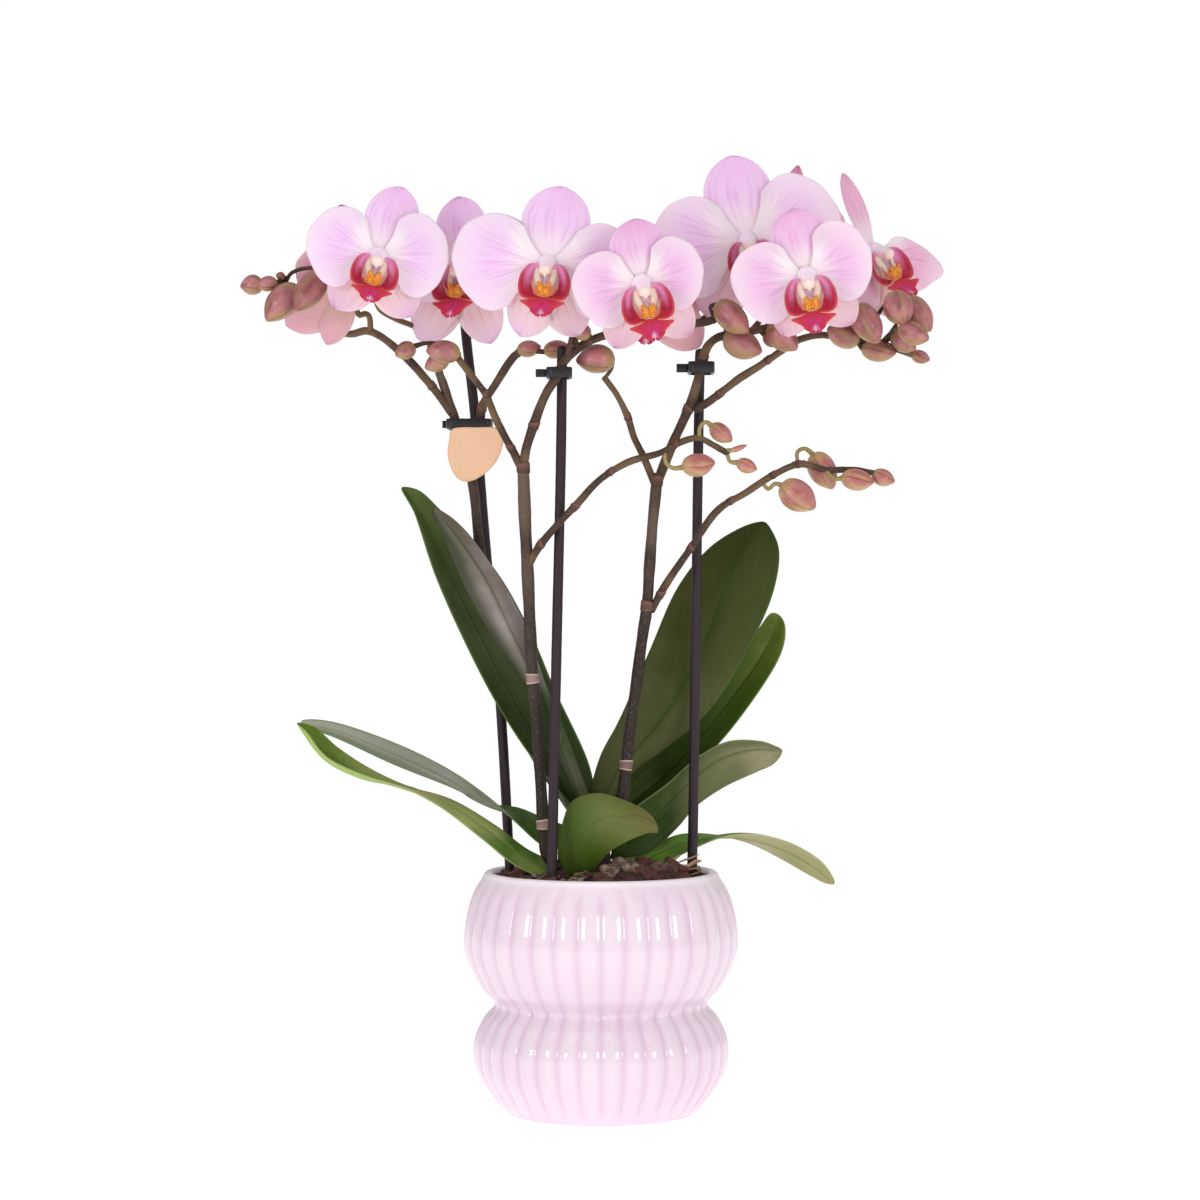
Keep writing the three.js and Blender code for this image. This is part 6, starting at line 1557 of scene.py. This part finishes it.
def tag_paper():
    """Bare kraft card with short fibres."""
    f = Finish("kraft_card", specular_ior_level=0.2)
    where = f.place()
    fibre = f.grain(where * (1.0, 1.0, 2.4), 1.4, 4, 0.7)
    fleck = f.grain(where, 3.0, 1).fade(0.7, 0.78)
    colour = f.mix(fibre, paint(250, 210, 176), paint(238, 192, 154))
    colour = f.mix(fleck * 0.5, colour, paint(176, 128, 94))
    colour = f.mix(f.mark("X").fade(0.9, 1.0) * 0.3, colour, paint(196, 146, 108))
    return f.wear(colour, 0.82 + fibre * 0.1, fibre, 0.12)


def make_stake(name, skin):
    form = Form()
    knots = [[*place(*p), STAKE_RADIUS] for p in STAKES[name]]
    line = through(knots, rings_for(knots))
    line[:, 3] *= 1 + 0.012 * np.sin(np.arange(len(line)) * 0.21)
    line[-2:, 3] *= (0.97, 0.86)
    rod(form, line, 18, wobble=0.05)
    piece(name.replace("stake", "support_stick"), form, [skin], "stick", name)


CLIP_CORNER = 3
CLIP_EDGE = 0.3
CORNER_STEPS = 8


def rounded_outline(across, depth, corner):
    """Points round a rectangle with round corners, across and depth from its middle."""
    points = []
    for x, y, quarter in ((1, 1, 0), (-1, 1, 1), (-1, -1, 2), (1, -1, 3)):
        for k in range(CORNER_STEPS + 1):
            angle = (quarter + k / CORNER_STEPS) * math.pi / 2
            points.append([x * (across - corner) + corner * math.cos(angle),
                           y * (depth - corner) + corner * math.sin(angle)])
    return np.array(points)


def soft_box(form, low, high, edge):
    """A box with rounded edges."""
    points, faces = CHIP_BLOCK
    low, high = np.array(low, float), np.array(high, float)
    middle, half = (low + high) / 2, (high - low) / 2
    cube = np.sign(points) * (half - edge) * (np.abs(points) > 0.12) + unit(points) * edge
    form.add(cube + middle, (0, 0, 0), faces)


def make_clip(name, skin):
    clip = CLIPS[name]
    across, depth, height, tab = (clip[key] for key in ("across", "depth", "height", "tab"))
    middle = place(*clip["middle"])
    form = Form()
    outer = rounded_outline(across, depth, CLIP_CORNER)
    inner = rounded_outline(across - CLIP_WALL, depth - CLIP_WALL, CLIP_CORNER - CLIP_WALL)
    half = height / 2
    side = half - CLIP_EDGE
    rings = []
    for share, z in ((0, -side), (0.2, -half), (0.8, -half), (1, -side),
                     (1, side), (0.8, half), (0.2, half), (0, side)):
        ring = outer + (inner - outer) * share
        rings.append(np.column_stack([ring, np.full(len(ring), z)]))
    rings = np.array(rings)
    count = rings.shape[1]
    faces = grid_faces(len(rings), count, closed=True)
    last = (len(rings) - 1) * count
    faces += [(last + k, last + (k + 1) % count, (k + 1) % count, k) for k in range(count)]
    form.add(rings + middle, (0, 0, 0), [tuple(reversed(face)) for face in faces])
    grip = height * 0.375
    soft_box(form, middle + [-across - tab, -1.3, -grip], middle + [-across + 0.6, 1.3, grip], 0.35)
    for k in range(3):
        x = -across - tab + 0.5 + k * 0.8
        soft_box(form, middle + [x - 0.2, -1.55, -grip], middle + [x + 0.2, -1.2, grip], 0.12)
    # The catch at the front right, and the hinge knuckle at the back
    knuckle = half * 0.8
    soft_box(form, middle + [across - 2.2, -depth - 0.2, -knuckle],
             middle + [across - 0.4, -depth + 1.5, knuckle], 0.4)
    soft_box(form, middle + [-1.6, depth - 1.5, -half], middle + [1.6, depth + 0.1, half], 0.5)
    piece(name.replace("clip", "stem_clip"), form, [skin], "clip_plastic", name)


TAG_RINGS = [0.02, 0.35, 0.7, 0.9, 0.975, 1.0]
TAG_STEPS = 16
TAG_EDGE = 0.12


def make_tag(skin):
    depth = CLIPS["clip_left"]["middle"][2] - CLIPS["clip_left"]["depth"] - GAP
    corners = [place(x, z, depth) for x, z in TAG_OUTLINE]
    # The line runs two corners further at both ends, so that it closes smoothly
    line = through(corners[-2:] + corners + corners[:3], (len(corners) + 4) * TAG_STEPS + 1)
    ring = line[2 * TAG_STEPS:-2 * TAG_STEPS - 1]
    middle = ring.mean(axis=0)
    form = Form()
    count = len(ring)
    front, back = [], []
    for share in TAG_RINGS:
        flat = middle + (ring - middle) * share
        edge = TAG_EDGE if share == 1.0 else 0.0
        front.append(flat + [0, -TAG_THICKNESS + edge, 0])
        back.append(flat + [0, -edge, 0])
    points = np.array(front + back[::-1])
    marks = np.zeros(points.shape)
    marks[..., 0] = np.array(TAG_RINGS + TAG_RINGS[::-1])[:, None]
    faces = grid_faces(len(points), count, closed=True)
    last = (len(points) - 1) * count
    faces += [tuple(range(count - 1, -1, -1)), tuple(range(last, last + count))]
    form.add(points, marks.reshape(-1, 3), faces)
    piece("paper_tag", form, [skin], "kraft", "tag")


# Camera, floor and light


def make_camera():
    camera = bpy.data.cameras.new("camera")
    camera.lens = LENS
    camera.sensor_width = SENSOR
    camera.clip_end = 20
    eye = bpy.data.objects.new("camera", camera)
    eye.location = Vector((VIEW_X, -VIEW_DISTANCE, VIEW_HEIGHT)) * MM
    eye.rotation_euler = (math.pi / 2, 0, 0)
    bpy.context.collection.objects.link(eye)
    bpy.context.scene.camera = eye


# Metres from the middle of the floor to its sides, and how much light it gives of its own
FLOOR_HALF = 6.0
FLOOR_GLOW = 0.5


def make_floor():
    mesh = bpy.data.meshes.new("floor")
    corners = [(x * FLOOR_HALF, y * FLOOR_HALF, 0) for x, y in ((-1, -1), (1, -1), (1, 1), (-1, 1))]
    mesh.from_pydata(corners, [], [(0, 1, 2, 3)])
    floor = bpy.data.objects.new("floor", mesh)
    bpy.context.collection.objects.link(floor)
    f = Finish("floor_white", roughness=0.9, specular_ior_level=0.0, emission_color=(1, 1, 1, 1),
               emission_strength=FLOOR_GLOW)
    cloud = f.grain(f.place(), 0.004, 1)
    mesh.materials.append(f.wear(f.mix(cloud, paint(250, 250, 250), paint(252, 252, 252))))


LIGHT_AIM = Vector((0, 0, 0.22))


def area_light(name, azimuth, elevation, distance, width, height, watts):
    """A soft box that faces the plant. Azimuth 0 is at the front, to the right as it grows."""
    light = bpy.data.lights.new(name, "AREA")
    light.shape = "RECTANGLE"
    light.size = width
    light.size_y = height
    light.energy = watts
    box = bpy.data.objects.new(name, light)
    turn, rise = math.radians(azimuth), math.radians(elevation)
    way = Vector((math.sin(turn) * math.cos(rise), -math.cos(turn) * math.cos(rise), math.sin(rise)))
    box.location = LIGHT_AIM + distance * way
    box.rotation_euler = (-way).to_track_quat("-Z", "Y").to_euler()
    bpy.context.collection.objects.link(box)


ROOM_LIGHT = 0.55
BACKDROP = 1.02


def make_light():
    world = bpy.data.worlds.new("studio")
    world.use_nodes = True
    tree = world.node_tree
    # The white backdrop is brighter to look at than the light that it throws on the plant
    sight = tree.nodes.new("ShaderNodeLightPath")
    strength = tree.nodes.new("ShaderNodeMapRange")
    strength.inputs["To Min"].default_value = ROOM_LIGHT
    strength.inputs["To Max"].default_value = BACKDROP
    tree.links.new(sight.outputs["Is Camera Ray"], strength.inputs["Value"])
    tree.links.new(strength.outputs[0], tree.nodes["Background"].inputs["Strength"])
    tree.nodes["Background"].inputs["Color"].default_value = (1, 1, 1, 1)
    bpy.context.scene.world = world
    area_light("soft_box_left", -38, 10, 1.6, 0.46, 0.44, 3.9)
    area_light("soft_box_right", 38, 10, 1.6, 0.46, 0.44, 3.9)
    area_light("soft_box_top", -12, 58, 1.7, 1.5, 1.0, 3.6)
    bpy.context.scene.view_settings.view_transform = "Standard"
    bpy.context.scene.view_settings.look = "None"


def dress():
    make_camera()
    make_floor()
    make_light()
    stem = stem_skin()
    make_pot()
    make_bark()
    make_leaves()
    make_crown(stem)
    stem_skins = [stem, bud_skin()]
    for name in STEMS:
        make_spike(name, stem_skins)
    stick, clip = stick_skin(), clip_skin()
    for name in STAKES:
        make_stake(name, stick)
    for name in CLIPS:
        make_clip(name, clip)
    make_tag(tag_paper())
    tones = {tone: petal_skin("petal_" + tone, palette, 0.6) for tone, palette in PETAL_TONES.items()}
    back, column = petal_skin("petal_back", PETAL_BACK, 0.25, 0.0), column_skin()
    lips = [lobe_skin(), midlobe_skin(), callus_skin()]
    for name, bloom in BLOOMS.items():
        make_bloom(name, [tones[bloom.get("tone", "lilac")], back, column])
        make_lip(name.replace("bloom", "lip"), lips)
    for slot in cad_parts["grow_pot"].material_slots:
        slot.material = dull_plastic()


dress()
